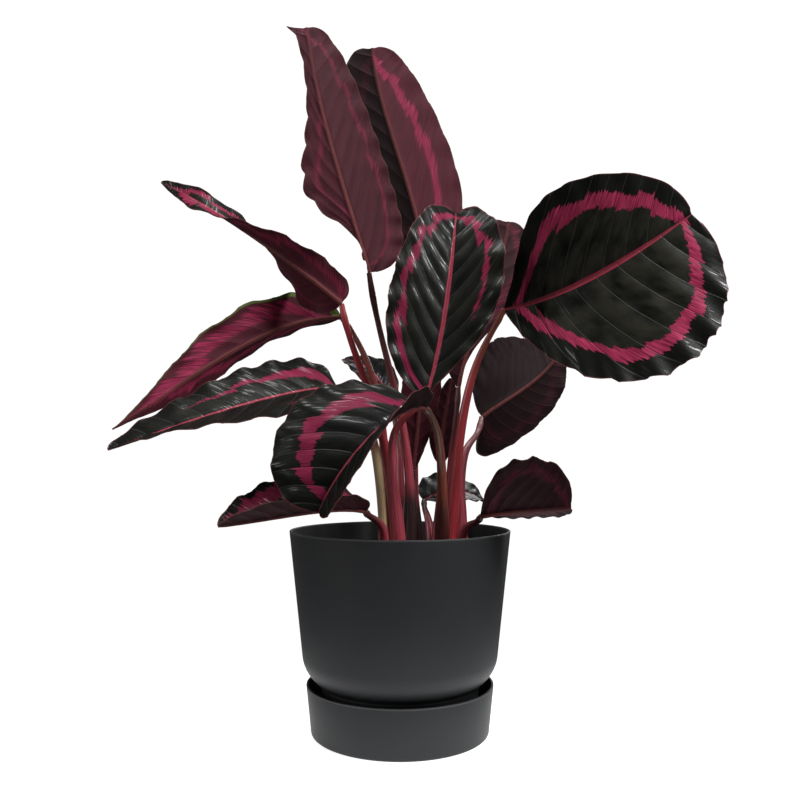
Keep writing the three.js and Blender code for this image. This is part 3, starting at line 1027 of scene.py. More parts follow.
@dataclass(frozen=True)
class Half:
    """One half of a blade, from its midrib to its margin.

    The width is the widest, in millimetres, and the belly is where that lies on the way to the tip. An
    end with a small roundness is blunt. A fold lifts the half from the midrib and a curl bends it on
    towards its margin, in degrees. The sweep draws the margin forward, as a share of the width there.
    The slant is how far a side vein runs forward for each step outward. The hem is a green strip along
    the margin of the underside, and the shade is painted shade that dims the glow on this half. Ripple,
    teeth and hem are in millimetres.
    """

    width: float = 40
    belly: float = 0.5
    base_round: float = 0.55
    tip_round: float = 0.7
    fold: Triple = (10, 10, 10)
    curl: Triple = (0, 0, 0)
    sweep: Triple = (0, 0, 0.3)
    ripple: float = 2.5
    lobes: float = 0.03
    slant: float = 1.0
    teeth: float = 0.6
    hem: Triple = (0, 0, 0)
    shade: float = 1.0
    band: Band = Band()

    def bulge(self, t: np.ndarray) -> np.ndarray:
        """Rises from 0 at the base to 1 at the belly and falls to 0 at the tip."""
        skew = math.log(0.5) / math.log(self.belly)
        return np.sin(np.pi * t**skew)

    def width_at(self, t: np.ndarray) -> np.ndarray:
        """Finds the distance from the midrib to the margin."""
        roundness = self.base_round + (self.tip_round - self.base_round) * t
        return self.width * self.bulge(np.clip(t, NEARLY_NONE, 1 - NEARLY_NONE)) ** roundness


@dataclass(frozen=True)
class Leaf:
    """One blade on its stem.

    Places are in millimetres. A triple of numbers gives the base, the middle and the tip. Left and right
    are as seen on the upper side with the tip up. The foot is where the stem stands, the rise holds the
    handles of its curve and the spine those of the midrib, and the face is the way that the upper side
    looks. The waves run along the margin, and each half has that many side veins. The pleat is how far
    the skin bulges between them, the glow how much painted light the blade gets, which lightens its heart,
    its pink and its underside, and the rib half the breadth of the pink midrib.
    """

    name: str
    foot: Pair
    rise: tuple[Triple, Triple]
    base: Triple
    spine: tuple[Triple, Triple]
    tip: Triple
    face: tuple[Triple, Triple, Triple]
    left: Half = Half()
    right: Half = Half()
    waves: int = 7
    veins: int = 9
    pleat: float = 1.1
    glow: float = 0.4
    rib: Triple = (0.7, 1.5, 0.0)
    stem_radii: Triple = (5.5, 3.4, 2.2)
    petiole: Petiole = Petiole()

    def spine_points(self) -> np.ndarray:
        """Gives the midrib's curve."""
        return np.array([self.base, *self.spine, self.tip], float)

    def length(self) -> float:
        """Measures the midrib."""
        line = bezier(self.spine_points(), np.linspace(0, 1, 200))
        return float(np.linalg.norm(np.diff(line, axis=0), axis=1).sum())

    def frame_at(self, t: np.ndarray) -> tuple[np.ndarray, np.ndarray, np.ndarray]:
        """Finds the midrib's tangent, facing and sideways directions.

        Args:
            t: How far along the blade each place lies, from 0 to 1.

        Returns:
            The three directions, a row for each place.
        """
        tangent = unit(bezier_slope(self.spine_points(), t))
        facing = np.stack([along([f[axis] for f in self.face], t) for axis in range(3)], -1)
        facing = unit(facing - (facing * tangent).sum(-1, keepdims=True) * tangent)
        return tangent, facing, np.cross(tangent, facing)

    def by_half(self, s: np.ndarray, measure: Callable[[Half], np.ndarray]) -> np.ndarray:
        """Takes a measure of the left half where s is below zero, and of the right half elsewhere."""
        return np.where(s < 0, measure(self.left), measure(self.right))

    def width_at(self, t: np.ndarray, s: np.ndarray) -> np.ndarray:
        """Finds the distance from the midrib to the margin, on the side where s lies."""
        return self.by_half(s, lambda half: half.width_at(t))

    def lane_at(self, t: np.ndarray, s: np.ndarray) -> np.ndarray:
        """Finds where a side vein through each place leaves the midrib, in millimetres from the base."""

        def forward(half: Half) -> np.ndarray:
            """Finds how far ahead of its root a vein of this half has run."""
            return half.slant * half.width * half.bulge(np.clip(t, 0, 1)) * np.abs(s) ** VEIN_BOW

        return self.length() * t - self.by_half(s, forward)

    def vein_at(self, t: np.ndarray, s: np.ndarray) -> np.ndarray:
        """Counts side veins from the base: each has a whole number all along its arc."""
        return self.lane_at(t, s) * self.veins / self.length() + np.where(s < 0, 0.0, RIGHT_VEIN_SHIFT)

    def surface(self, t: np.ndarray, s: np.ndarray) -> np.ndarray:
        """Places the upper side.

        Args:
            t: From 0 at the base to 1 at the tip.
            s: From -1 at the left margin to 1 at the right one.

        Returns:
            A point in millimetres for each pair.
        """
        tangent, facing, sideways = self.frame_at(t)
        left = self._half(self.left, 0, t, s)
        right = self._half(self.right, RIGHT_SHIFT, t, s)
        out, lift, forward = np.where(s < 0, left, right)
        return (
            bezier(self.spine_points(), t)
            + sideways * (np.sign(s) * out)[:, None]
            + facing * lift[:, None]
            + tangent * forward[:, None]
        )

    def _half(self, half: Half, shift: float, t: np.ndarray, s: np.ndarray) -> np.ndarray:
        """Finds how far a half lies out from the midrib, above it and ahead, a row each.

        Args:
            half: The half's own sizes.
            shift: How far its waves are moved along.
            t: How far along the blade each place lies, from 0 to 1.
            s: How far across it lies, from -1 to 1.

        Returns:
            The three distances in millimetres.
        """
        u = np.abs(s)
        full = half.width_at(t)
        phase = self.waves * t + shift
        lobe = 1 + half.lobes * (np.abs(np.sin(np.pi * phase)) - LOBE_MIDDLE) * u**3
        width = full * lobe + self._tooth(half, t, s)
        fold, curl = (np.radians(along(angles, t)) for angles in (half.fold, half.curl))
        curl = np.where(np.abs(curl) < STEP, STEP, curl)
        out = width * (np.sin(fold + curl * u) - np.sin(fold)) / curl
        lift = width * (np.cos(fold) - np.cos(fold + curl * u)) / curl
        lift += half.ripple * np.sqrt(full / half.width) * u**3 * np.sin(2 * np.pi * phase)
        return np.stack([out, lift, along(half.sweep, t) * full * u * u])

    def _tooth(self, half: Half, t: np.ndarray, s: np.ndarray) -> np.ndarray:
        """Draws the margin out to a point twice for each side vein.

        Args:
            half: The half that has the teeth.
            t: How far along the blade each place lies, from 0 to 1.
            s: How far across it lies, from -1 to 1.

        Returns:
            How far each place moves out, in millimetres.
        """
        beat = np.abs(2 * (2 * self.vein_at(t, np.sign(s)) % 1) - 1)
        point = beat**TOOTH_POINT - TOOTH_MIDDLE
        return half.teeth * point * np.abs(s) ** 8 * ramp(half.width_at(t), TOOTH_ROOM)

    def normal_at(self, t: np.ndarray, s: np.ndarray) -> np.ndarray:
        """Finds the way the upper side looks at each place.

        Args:
            t: How far along the blade each place lies, from 0 to 1.
            s: How far across it lies, from -1 to 1.

        Returns:
            The directions, a row each.
        """
        here = self.surface(t, s)
        outward = np.where(s < 0, -1.0, 1.0)
        spanwise = (self.surface(t, s - outward * STEP) - here) * -outward[:, None]
        lengthwise = self.surface(t + STEP, s) - self.surface(t - STEP, s)
        normal = unit(np.cross(spanwise, lengthwise))
        facing = self.frame_at(t)[1]
        return np.where(np.abs(s)[:, None] < NEARLY_NONE, facing, normal)


@dataclass
class Blade:
    """Builds one blade as a fine closed sheet with pleats along its side veins. Sizes in millimetres.

    A room is how wide half the blade is where a form of the relief reaches its full height. The swell's
    waves are how many there are along the blade, how much they slant, and how many there are across it.
    """

    leaf: Leaf
    index: int
    columns: int = 48
    row_length: float = 1.3
    crowding: float = 1.3
    thickness: float = 0.5
    rib: Triple = (2.3, 1.7, 0.8)
    rib_half_width: float = 1.5
    rib_round: float = 0.8
    least_weight: float = 0.005
    pleat_round: float = 0.7
    pleat_middle: float = 0.6
    pleat_start: float = 0.12
    pleat_room: float = 16
    dip_depth: float = 0.5
    dip_half_width: float = 2.2
    dip_room: float = 10
    swell: float = 0.9
    swell_waves: Triple = (1.6, 0.5, 0.8)
    swell_turn: float = 2.4
    swell_room: float = 30
    crease: float = 70

    def build(self, upper: bpy.types.Material, lower: bpy.types.Material) -> None:
        """Makes the blade.

        Args:
            upper: The finish of its upper side.
            lower: The finish of its underside.
        """
        clear_bench()
        rows = round(self.leaf.length() / self.row_length)
        bpy.ops.mesh.primitive_grid_add(x_subdivisions=self.columns, y_subdivisions=rows, size=2)
        piece = bpy.context.active_object
        piece.name = f"blade_{self.leaf.name}"
        piece.data.materials.append(upper)
        piece.data.materials.append(lower)
        t, s = self._coordinates(piece)
        relief = self.leaf.normal_at(t, s) * self._relief(t, s)[:, None]
        move_points(piece, self.leaf.surface(t, s) + relief)
        self._mark(piece, t, s)
        self._thicken(piece, t, s)
        hand_over(piece, f"leaf_{self.leaf.name}", self.crease)

    def _coordinates(self, piece: bpy.types.Object) -> tuple[np.ndarray, np.ndarray]:
        """Turns the flat grid into places along and across the blade, crowded at ends and midrib.

        Args:
            piece: The flat grid.

        Returns:
            The places along it and the places across it.
        """
        flat = places(piece)
        even = (flat[:, 1] + 1) / 2
        eased = 0.5 - 0.5 * np.cos(np.pi * even)
        ends = BLADE_END / self.leaf.length()
        t = ends + (1 - 2 * ends) * 0.5 * (even + eased)
        s = np.sign(flat[:, 0]) * np.abs(flat[:, 0]) ** self.crowding
        return t, s

    def _relief(self, t: np.ndarray, s: np.ndarray) -> np.ndarray:
        """Finds how far the skin bulges between side veins, dips at the midrib and undulates.

        Args:
            t: How far along the blade each place lies, from 0 to 1.
            s: How far across it lies, from -1 to 1.

        Returns:
            The height of each place above the smooth blade, in millimetres.
        """
        u = np.abs(s)
        full = self.leaf.width_at(t, s)
        panel = np.abs(np.sin(np.pi * self.leaf.vein_at(t, s))) ** self.pleat_round - self.pleat_middle
        room = ramp(full, self.pleat_room) * ramp(u, self.pleat_start) * (1 - 0.5 * u)
        dip = self.dip_depth * np.exp(-((u * full / self.dip_half_width) ** 2)) * ramp(full, self.dip_room)
        lengthwise, slanting, across = (2 * np.pi * waves for waves in self.swell_waves)
        turn = self.swell_turn * self.index
        swell = np.sin(lengthwise * t + slanting * s + turn) * np.sin(across * s + 1.3 * turn)
        return self.leaf.pleat * panel * room - dip + self.swell * swell * ramp(full, self.swell_room) * u

    def _mark(self, piece: bpy.types.Object, t: np.ndarray, s: np.ndarray) -> None:
        """Stores the blade's own coordinates for its finishes, apart from those of other blades.

        Args:
            piece: The blade.
            t: How far along the blade each place lies, from 0 to 1.
            s: How far across it lies, from -1 to 1.
        """
        leaf = self.leaf
        u = np.abs(s)
        speed = np.linalg.norm(bezier_slope(leaf.spine_points(), t), axis=-1)
        slope = (leaf.width_at(t + STEP, s) - leaf.width_at(t - STEP, s)) / (2 * STEP * speed)
        width = leaf.width_at(t, s)
        edge = (1 - u) * width / np.sqrt(1 + slope * slope)
        values = {
            "mid": u * width,
            "edge": edge,
            "run": t,
            "lane": leaf.lane_at(t, s) + np.where(s < 0, 0, 0.5 * LANES_APART) + LANES_APART * self.index,
            "vein": leaf.vein_at(t, s) + VEINS_APART * self.index,
            "pitch": np.full_like(t, leaf.length() / leaf.veins),
            "off": edge - leaf.by_half(s, lambda half: along(half.band.inset, t)),
            "reach": leaf.by_half(s, lambda half: along(half.band.reach, t)),
            "wedge": leaf.by_half(s, lambda half: np.full_like(t, half.band.wedge)),
            "rib": along(leaf.rib, t),
            "hem": leaf.by_half(s, lambda half: along(half.hem, t)),
            # Painted light: the blade's glow, dimmed by each half's painted shade.
            "glow": leaf.by_half(s, lambda half: np.full_like(t, leaf.glow * half.shade)),
        }
        for name, value in values.items():
            store(piece, name, value)

    def _thicken(self, piece: bpy.types.Object, t: np.ndarray, s: np.ndarray) -> None:
        """Gives the sheet its thickness below, with a rounded rib under the midrib.

        Args:
            piece: The blade as an open sheet.
            t: How far along the blade each place lies, from 0 to 1.
            s: How far across it lies, from -1 to 1.
        """
        full = self.leaf.width_at(t, s)
        across = np.abs(s) * full / self.rib_half_width
        proud = (along(self.rib, t) - self.thickness) * np.exp(-(across**2) * self.rib_round)
        deepest = max(self.rib)
        share = ramp(proud, deepest - self.thickness)
        group = piece.vertex_groups.new(name="rib")
        for point, weight in enumerate(share):
            if weight > self.least_weight:
                group.add([point], float(weight), "REPLACE")
        settings = {
            "thickness": deepest * MM,
            "offset": -1,
            "vertex_group": group.name,
            "thickness_vertex_group": self.thickness / deepest,
            "material_offset": 1,
            "material_offset_rim": 0,
        }
        apply_modifier(piece, "SOLIDIFY", settings)
        piece.vertex_groups.clear()


@dataclass
class Stem:
    """Builds one stem as a tapering tube with a flattened sheath below and a joint under the blade.

    Places along it and the joint's length are shares of its own length, and swell, ridges, cup and
    thinning are shares of its breadth. The broad side is the way that a sheath faces, and the climb is
    where the upper colour takes over.
    """

    leaf: Leaf
    index: int
    sides: int = 20
    rings: int = 70
    joint_at: float = 0.93
    joint_swell: float = 0.28
    joint_length: float = 0.045
    broad_side: Triple = (0.3, 1.0, 0.1)
    ridges: int = 5
    ridge_height: float = 0.03
    sheath_cup: float = 0.18
    sheath_thinning: float = 0.25
    climb: Pair = (0.35, 0.8)

    def build(self, material: bpy.types.Material) -> None:
        """Makes the stem.

        Args:
            material: Its finish.
        """
        clear_bench()
        bpy.ops.mesh.primitive_cylinder_add(vertices=self.sides, radius=1, depth=2)
        piece = bpy.context.active_object
        piece.name = f"petiole_{self.leaf.name}"
        self._ring_cuts(piece)
        flat = places(piece)
        t = (flat[:, 2] + 1) / 2
        move_points(piece, self._shape(flat, t))
        angle = np.arctan2(flat[:, 1], flat[:, 0])
        store(piece, "run", t)
        store(piece, "turn", np.abs(angle) / math.pi + TURNS_APART * self.index)
        self._colour(piece, t)
        piece.data.materials.append(material)
        hand_over(piece, f"stem_{self.leaf.name}", SOFT_CREASE)

    def _ring_cuts(self, piece: bpy.types.Object) -> None:
        """Cuts the rod's wall into rings.

        Args:
            piece: The straight rod.
        """
        heights = places(piece)[:, 2]
        pick_edges(piece, lambda edge: abs(heights[edge.vertices[0]] - heights[edge.vertices[1]]) > 1)
        bpy.ops.mesh.subdivide(number_cuts=self.rings)
        bpy.ops.object.mode_set(mode="OBJECT")

    def _shape(self, flat: np.ndarray, t: np.ndarray) -> np.ndarray:
        """Wraps the straight rod round the stem's curve.

        Args:
            flat: The rod's points, with radius one.
            t: Each point's place from the soil to the blade.

        Returns:
            Points in millimetres.
        """
        leaf = self.leaf
        points = np.array([(*leaf.foot, STEM_FOOT_HEIGHT), *leaf.rise, leaf.base], float)
        tangent = unit(bezier_slope(points, t))
        across = unit(np.cross(tangent, np.array([self.broad_side])))
        outward = np.cross(across, tangent)
        joint = np.exp(-(((t - self.joint_at) / self.joint_length) ** 2))
        radius = along(leaf.stem_radii, t) * (1 + self.joint_swell * joint)
        sheath = 1 - smooth_step(t, 0.5 * leaf.petiole.sheath_top, leaf.petiole.sheath_top)
        half_width = radius + (leaf.petiole.sheath_half_width - radius) * sheath
        ridges = 1 + self.ridge_height * np.sin(self.ridges * np.arctan2(flat[:, 1], flat[:, 0]))
        cup = self.sheath_cup * sheath * half_width * (flat[:, 0] ** 2 - 0.5)
        x = flat[:, 0] * half_width * ridges
        y = flat[:, 1] * radius * ridges * (1 - self.sheath_thinning * sheath) + cup
        return bezier(points, t) + across * x[:, None] + outward * y[:, None]

    def _colour(self, piece: bpy.types.Object, t: np.ndarray) -> None:
        """Runs the stem's colours from its foot to its blade.

        Args:
            piece: The stem.
            t: How far up the stem each of its points lies, from 0 to 1.
        """
        petiole = self.leaf.petiole
        low, high, sheath = (np.array(tone.value) for tone in (petiole.low, petiole.high, petiole.sheath))
        climb = smooth_step(t, *self.climb)[:, None]
        colour = low + (high - low) * climb
        covered = 1 - smooth_step(t, 0.75 * petiole.sheath_top, petiole.sheath_top)[:, None]
        colour = colour + (sheath - colour) * covered
        attribute = piece.data.color_attributes.new("tint", "FLOAT_COLOR", "POINT")
        attribute.data.foreach_set("color", np.c_[colour, np.ones(len(t))].astype(np.float32).ravel())


LEAVES = (
    Leaf(
        name="tall_left",
        foot=(4, -8),
        rise=((22, 3, 263), (-14, -17, 302)),
        base=(-27, -30, 398),
        spine=((-42, -28, 450), (-76, -20, 549)),
        tip=(-86, -6, 633),
        face=((-0.45, 1, 0), (-0.35, 1, 0.1), (-0.2, 1, 0.2)),
        left=Half(
            width=54, belly=0.37, base_round=0.6, tip_round=0.45, fold=(12, 14, 5), lobes=0.02,
            ripple=2, slant=2, shade=0.9, teeth=0.2, band=Band(inset=(14, 14, 12), reach=(1, 1.5, 1)),
        ),
        right=Half(
            width=33, belly=0.42, base_round=9, tip_round=0.1, lobes=0.14, ripple=2, slant=2, shade=0.9,
            teeth=0.3, band=Band(inset=(14, 14, 12), reach=(1, 1.5, 1)),
        ),
        waves=10,
        veins=11,
        glow=0.42,
    ),
    Leaf(
        name="tall_back",
        foot=(18, 20),
        rise=((7, 12, 247), (15, 33, 258)),
        base=(27, 40, 396),
        spine=((21, 45, 496), (-21, 54, 567)),
        tip=(-28, 56, 646),
        face=((0.1, 1, 0.1), (0, 1, 0.15), (-0.1, 1, 0.2)),
        left=Half(
            width=54, belly=0.48, tip_round=0.42, fold=(15, 15, 10), lobes=0.02, ripple=1.5, slant=2,
            shade=1.4, teeth=0.2, band=Band(inset=(22, 24, 20), reach=(3, 4.5, 4)),
        ),
        right=Half(
            width=50, belly=0.5, tip_round=0.34, fold=(25, 25, 20), lobes=0.02, ripple=1.5, slant=2,
            shade=0.05, teeth=0.2, band=Band(inset=(22, 24, 20), reach=(3, 4.5, 4)),
        ),
        veins=11,
        glow=0.6,
    ),
    Leaf(
        name="narrow_upper_left",
        foot=(2, -25),
        rise=((-7, -24, 290), (-37, -66, 300)),
        base=(-48, -70, 363),
        spine=((-84, -80, 394), (-156, -34, 453)),
        tip=(-216, -12, 485),
        face=((0, 1, 0.35), (0, 0.35, 0.95), (0, -1.3, 0.3)),
        left=Half(
            width=20, belly=0.25, base_round=0.5, tip_round=0.7, fold=(20, 5, -40), lobes=0.05,
            ripple=1.5, band=Band(inset=(7, 7, 7), reach=(2, 2.5, 2.5)),
        ),
        right=Half(
            width=29, belly=0.27, base_round=1, tip_round=0.7, fold=(5, 15, 25), lobes=0.1, ripple=2,
            band=Band(inset=(7, 8, 5), reach=(-1, 1, 3)),
        ),
        waves=6,
        pleat=0.5,
        glow=0.5,
        petiole=Petiole(low=Tone.RED, high=Tone.RED, sheath=Tone.ROSE),
    ),
    Leaf(
        name="drooping_left",
        foot=(-15, -17),
        rise=((-6, -12, 276), (-22, -20, 322)),
        base=(-52, -20, 361),
        spine=((-118, -28, 361), (-164, -92, 297)),
        tip=(-223, -100, 259),
        face=((0, 0.6, 0.8), (0.2, 0.7, 0.6), (0.5, 0.8, 0.4)),
        left=Half(
            width=29, belly=0.37, base_round=1.2, tip_round=1.2, fold=(30, 30, 30),
            sweep=(-0.5, 0, 0.2), slant=1.4, hem=(5, 1.2, 0.8),
            band=Band(inset=(12, 12, 8), reach=(5, 6, 4)),
        ),
        right=Half(
            width=25, belly=0.33, base_round=0.7, tip_round=1.2, fold=(30, 30, 30), ripple=1.5,
            slant=1.4, band=Band(inset=(11, 11, 8), reach=(2, 3, 3)),
        ),
        waves=6,
        glow=0.9,
        petiole=Petiole(low=Tone.RED, high=Tone.RUST, sheath=Tone.ROSE),
    ),
    Leaf(
        name="long_left",
        foot=(-12, -36),
        rise=((-14, -45, 270), (-28, -66, 275)),
        base=(-51, -72, 295),
        spine=((-90, -94, 292), (-158, -117, 266)),
        tip=(-215, -130, 243),
        face=((0, -0.75, 0.65), (0, -0.7, 0.7), (0.1, -0.4, 0.9)),
        left=Half(
            width=42, belly=0.3, tip_round=0.7, fold=(15, 24, 25), ripple=1.5, slant=0.8,
            band=Band(inset=(20, 18, 12), reach=(6, -2, -4)),
        ),
        right=Half(
            width=42, belly=0.28, base_round=0.4, tip_round=0.62, fold=(0, 0, 10), ripple=2, lobes=0.06,
            slant=0.8, band=Band(inset=(20, 17, 10), reach=(8, 2, -3)),
        ),
        glow=0.3,
        petiole=Petiole(
            low=Tone.ROSE, high=Tone.RED, sheath=Tone.CREAM, sheath_half_width=4.5, sheath_top=0.5,
        ),
    ),
    Leaf(
        name="centre_front",
        foot=(4, -42),
        rise=((-15, -43, 281), (-9, -68, 255)),
        base=(20, -90, 283),
        spine=((36, -80, 332), (42, -88, 395)),
        tip=(47, -60, 442),
        face=((0, -1, 0.2), (0, -1, 0), (0, -1, -0.2)),
        left=Half(
            width=48, belly=0.47, tip_round=0.5, fold=(15, 15, 20), sweep=(0, 0, 0.6), slant=1.4,
            ripple=1.5, band=Band(inset=(9, 11, 8), reach=(1.6, 3.8, 3), wedge=0.6),
        ),
        right=Half(
            width=44, belly=0.62, base_round=0.9, tip_round=0.5, fold=(15, 15, 20), sweep=(0, 0, 0.6),
            slant=1.4, band=Band(inset=(12, 15, 9), reach=(-9, 1.2, 4.4), wedge=0.8),
        ),
        pleat=1.6,
        glow=0.3,
        rib=(0.8, 1.7, 0.3),
        petiole=Petiole(low=Tone.ROSE, high=Tone.RED, sheath=Tone.ROSE),
    ),
    Leaf(
        name="folded_front",
        foot=(33, -42),
        rise=((39, -50, 259), (29, -95, 263)),
        base=(19, -112, 275),
        spine=((-1, -143, 281), (-43, -168, 234)),
        tip=(-57, -160, 199),
        face=((-0.1, -0.8, 0.7), (-0.1, -1, 0.25), (-0.1, -1, 0)),
        left=Half(width=36, tip_round=0.5, fold=(70, 70, 50), ripple=1.5, band=NO_BAND),
        right=Half(
            width=62, belly=0.56, base_round=0.5, tip_round=0.42, fold=(10, 5, 5), curl=(-20, -30, -30),
            slant=0.6, band=Band(inset=(24, 26, 20), reach=(7, 8.5, 5), wedge=0.5),
        ),
        pleat=1.4,
        glow=0.1,
        rib=(0.6, 0.8, 0),
        petiole=Petiole(low=Tone.RUST, high=Tone.OLIVE, sheath=Tone.BROWN),
    ),
    Leaf(
        name="round_right",
        foot=(40, -18),
        rise=((51, -27, 327), (70, -31, 322)),
        base=(88, -46, 363),
        spine=((132, -64, 367), (179, -93, 392)),
        tip=(234, -91, 432),
        face=((0, -1, 0.2), (0.1, -1, 0.2), (0.2, -1, 0.1)),
        left=Half(
            width=77, belly=0.54, base_round=0.8, tip_round=0.6, fold=(28, 28, 10), slant=0.9,
            lobes=0.01, ripple=1, teeth=0, band=Band(inset=(7, 20, 12), reach=(2, 6.5, 4.5), wedge=0.3),
        ),
        right=Half(
            width=98, belly=0.6, base_round=0.65, tip_round=0.5, fold=(5, 5, 5), sweep=(0, 0, 0.15),
            slant=0.4, ripple=2, teeth=2.4,
            band=Band(inset=(12, 22, 17), reach=(2.5, 6.2, 5), wedge=0.35),
        ),
        waves=9,
        pleat=1.5,
        glow=0.85,
        rib=(0.7, 2.3, 0.2),
        petiole=Petiole(low=Tone.RED, high=Tone.RUST, sheath=Tone.RED),
    ),
    Leaf(
        name="back_right",
        foot=(44, 14),
        rise=((42, 15, 240), (50, 4, 248)),
        base=(53, 8, 301),
        spine=((63, 11, 351), (100, 24, 420)),
        tip=(104, 36, 463),
        face=((0, 1, 0.1), (0, 1, 0.15), (0, 1, 0.2)),
        left=Half(width=30, belly=0.68, base_round=1.4, tip_round=0.5, lobes=0.02, ripple=1),
        right=Half(width=42, belly=0.6, tip_round=0.4, lobes=0.02, ripple=1, band=NO_BAND),
        glow=0.2,
    ),
    Leaf(
        name="middle_right",
        foot=(55, -7),
        rise=((46, -4, 284), (68, 12, 232)),
        base=(76, 28, 275),
        spine=((100, 43, 294), (135, 63, 308)),
        tip=(158, 72, 340),
        face=((0.1, 0.9, 0.3), (0.15, 0.9, 0.3), (0.2, 0.9, 0.3)),
        left=Half(
            width=43, belly=0.4, base_round=0.45, tip_round=0.6, sweep=(-1.1, -0.2, 0.2), lobes=0.02,
            ripple=1.5,
        ),
        right=Half(width=55, tip_round=0.5, ripple=1.5, band=NO_BAND),
        pleat=0.6,
        glow=0.0,
        petiole=Petiole(low=Tone.ROSE, high=Tone.PALE_PINK, sheath=Tone.ROSE),
    ),
    Leaf(
        name="low_right",
        foot=(50, -34),
        rise=((46, -46, 200), (61, -51, 174)),
        base=(66, -62, 190),
        spine=((84, -74, 195), (114, -87, 197)),
        tip=(134, -90, 198),
        face=((0, 0.6, 0.8), (0, 0.65, 0.75), (0, 0.7, 0.7)),
        left=Half(width=24, tip_round=0.5, fold=(20, 20, 20), ripple=0.8, lobes=0.02, teeth=0.2),
        right=Half(
            width=48, belly=0.58, base_round=0.7, tip_round=0.4, fold=(20, 20, 20), ripple=1.5,
            sweep=(0.1, 0.05, 0.1),
        ),
        waves=6,
        veins=7,
        glow=0.2,
    ),
    Leaf(
        name="low_left",
        foot=(-26, -46),
        rise=((3, -66, 197), (-25, -71, 183)),
        base=(-27, -88, 196),
        spine=((-49, -112, 203), (-95, -132, 192)),
        tip=(-131, -140, 188),
        face=((0, -0.4, 0.9), (0, -0.35, 0.9), (0, -0.3, 0.9)),
        left=Half(
            width=24, belly=0.45, fold=(50, 55, 60), ripple=0.6, lobes=0.02, teeth=0.2, shade=0.5,
            band=NO_BAND,
        ),
        right=Half(
            width=37, belly=0.45, fold=(30, 30, 30), ripple=1.5, lobes=0.06, slant=0.9,
            band=Band(inset=(12, 12, 8), reach=(5, 8, 4), wedge=0.4),
        ),
        waves=6,
        glow=0.45,
        petiole=Petiole(sheath_half_width=11),
    ),
    Leaf(
        name="small_back_left",
        foot=(2, 34),
        rise=((-1, 43, 266), (1, 48, 235)),
        base=(-8, 60, 291),
        spine=((-21, 76, 322), (-37, 92, 335)),
        tip=(-58, 108, 340),
        face=((0, -0.4, 0.9), (0, -0.4, 0.9), (0, -0.4, 0.9)),
        left=Half(width=22, ripple=0.8, teeth=0, band=NO_BAND),
        right=Half(width=22, ripple=0.8, teeth=0, band=NO_BAND),
        waves=5,
        veins=6,
        glow=0.1,
    ),
    Leaf(
        name="low_back_right",
        foot=(30, 30),
        rise=((30, 44, 197), (22, 43, 179)),
        base=(23, 54, 197),
        spine=((40, 71, 207), (70, 93, 209)),
        tip=(86, 104, 192),
        face=((0, -0.5, 0.85), (0, -0.5, 0.85), (0, -0.5, 0.85)),
        left=Half(width=30, ripple=1.5, teeth=0.2, band=NO_BAND),
        right=Half(width=34, ripple=1.5, teeth=0.2, band=NO_BAND),
        waves=5,
        veins=7,
        glow=0.1,
    ),
    Leaf(
        name="young_centre",
        foot=(8, 8),
        rise=((2, 8, 210), (9, 6, 200)),
        base=(12, 4, 226),
        spine=((16, 2, 265), (21, 0, 316)),
        tip=(23, 2, 352),
        face=((0, 1, 0.1), (0, 1, 0.1), (0, 1, 0.1)),
        left=Half(width=18, belly=0.6, ripple=0.8, band=NO_BAND),
        right=Half(width=18, belly=0.6, ripple=0.8, band=NO_BAND),
        waves=6,
    ),
    Leaf(
        name="narrow_centre",
        foot=(30, 8),
        rise=((30, 12, 165), (38, 26, 200)),
        base=(38, 28, 231),
        spine=((37, 30, 254), (43, 30, 282)),
        tip=(48, 28, 312),
        face=((0, 1, 0.1), (0, 1, 0.1), (0, 1, 0.1)),
        left=Half(width=13, ripple=0.5, teeth=0, band=NO_BAND),
        right=Half(width=13, ripple=0.5, teeth=0, band=NO_BAND),
        waves=4,
        veins=7,
        glow=0.3,
    ),
)


# Studio


@dataclass(frozen=True)
class Softbox:
    """A square studio light that looks at one point. Metres and watts."""

    name: str
    place: Triple
    aim: Triple
    size: Pair
    power: float

    def build(self) -> None:
        """Hangs the light."""
        data = bpy.data.lights.new(self.name, "AREA")
        data.shape = "RECTANGLE"
        data.size, data.size_y = self.size
        data.energy = self.power
        light = bpy.data.objects.new(self.name, data)
        light.location = self.place
        direction = Vector(self.aim) - Vector(self.place)
        light.rotation_euler = direction.to_track_quat("-Z", "Y").to_euler()
        bpy.context.scene.collection.objects.link(light)


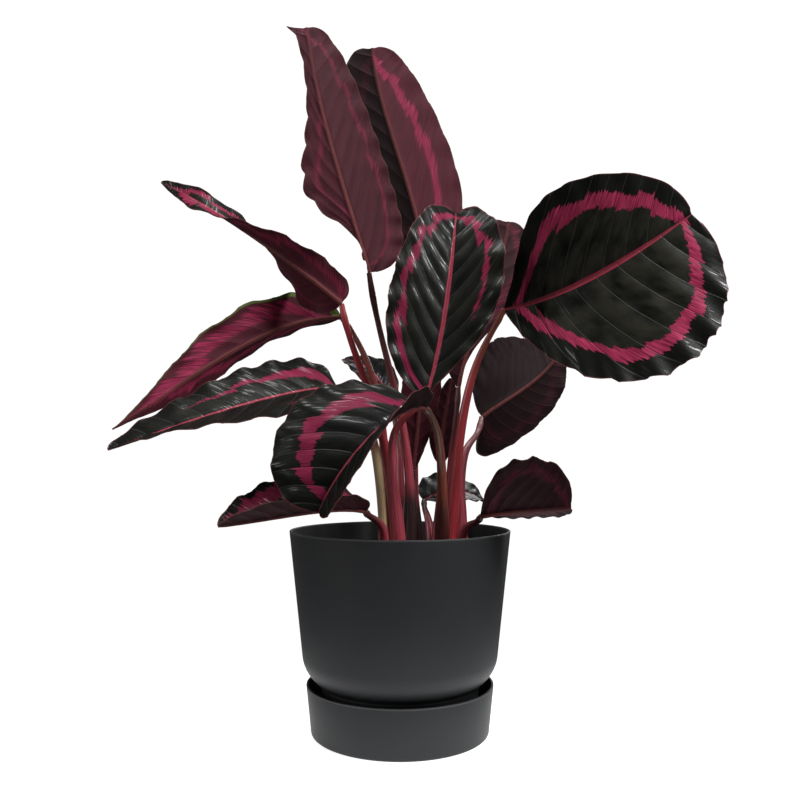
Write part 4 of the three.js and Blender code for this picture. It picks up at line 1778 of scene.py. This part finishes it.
@dataclass(frozen=True)
class Studio:
    """A white studio: floor, air, softboxes and the camera at the photograph's viewpoint."""

    floor_radius: float = 1.6
    fade: Pair = (0.10, 0.30)
    floor_colour: Triple = (0.93, 0.93, 0.93)
    floor_glow: float = 0.8
    air_seen: float = 1.05
    air_light: float = 0.12
    camera_distance: float = 0.724
    camera_height: float = 0.237
    camera_pitch: float = 4.11
    focal_pixels: float = 807
    image_pixels: float = 800
    sensor: float = 36.0

    def build(self) -> None:
        """Sets up the studio."""
        self._floor()
        self._air()
        self._camera()
        boxes = (
            Softbox("key_right", (1.0, -0.75, 1.25), (0.05, 0, 0.35), (0.5, 0.5), 26),
            Softbox("fill_left", (-1.3, -0.8, 0.7), (0, 0, 0.3), (0.6, 0.9), 8),
            Softbox("top", (-0.1, -0.25, 1.6), (0, 0, 0.2), (0.8, 0.6), 14),
            Softbox("back", (0.5, 1.3, 1.1), (0, 0, 0.3), (0.8, 0.8), 9),
        )
        for box in boxes:
            box.build()
        bpy.context.scene.view_settings.view_transform = "Standard"

    def _floor(self) -> None:
        """Lays a round pale floor that fades into the air far from the plant."""
        clear_bench()
        bpy.ops.mesh.primitive_circle_add(vertices=64, radius=self.floor_radius, fill_type="NGON")
        floor = bpy.context.active_object
        floor.name = "floor"
        g = Graph("floor_paper")
        x, y, _ = g.split(g.place())
        far = (x * x + y * y).rises(self.fade[0] ** 2, self.fade[1] ** 2)
        sockets = {
            "Base Color": (*self.floor_colour, 1),
            "Roughness": 0.9,
            "Alpha": 1 - far,
            "Emission Color": (1, 1, 1, 1),
            "Emission Strength": self.floor_glow,
            "Specular IOR Level": 0.0,
        }
        floor.data.materials.append(g.close(sockets))

    def _air(self) -> None:
        """Fills the world with white that lights the plant more softly than it looks."""
        world = bpy.data.worlds.new("air")
        bpy.context.scene.world = world
        world.use_nodes = True
        nodes, links = world.node_tree.nodes, world.node_tree.links
        nodes.clear()
        path = nodes.new("ShaderNodeLightPath")
        dim, seen = (nodes.new("ShaderNodeBackground") for _ in range(2))
        dim.inputs["Strength"].default_value = self.air_light
        seen.inputs["Strength"].default_value = self.air_seen
        for background in (dim, seen):
            background.inputs["Color"].default_value = (1, 1, 1, 1)
        mix = nodes.new("ShaderNodeMixShader")
        output = nodes.new("ShaderNodeOutputWorld")
        links.new(path.outputs["Is Camera Ray"], mix.inputs[0])
        links.new(dim.outputs[0], mix.inputs[1])
        links.new(seen.outputs[0], mix.inputs[2])
        links.new(mix.outputs[0], output.inputs[0])

    def _camera(self) -> None:
        """Stands the camera where the photograph was taken from."""
        data = bpy.data.cameras.new("camera")
        data.sensor_width = self.sensor
        data.lens = self.focal_pixels / self.image_pixels * self.sensor
        camera = bpy.data.objects.new("camera", data)
        camera.location = (0, -self.camera_distance, self.camera_height)
        camera.rotation_euler = (math.radians(90 + self.camera_pitch), 0, 0)
        bpy.context.scene.collection.objects.link(camera)
        bpy.context.scene.camera = camera


def main() -> None:
    """Builds the plant, its planter and the studio, in that order."""
    logging.basicConfig(level=logging.INFO, format="%(name)s: %(message)s")
    plastic = PlanterPlastic().build()
    Saucer().build(plastic)
    pot = Pot()
    pot.build(plastic)
    Soil(pot).build(PottingSoil().build())
    skin, upper, lower = StemSkin().build(), UpperSkin().build(), LowerSkin().build()
    for index, leaf in enumerate(LEAVES):
        Stem(leaf, index).build(skin)
        Blade(leaf, index).build(upper, lower)
    Studio().build()


if __name__ == "__main__":
    main()
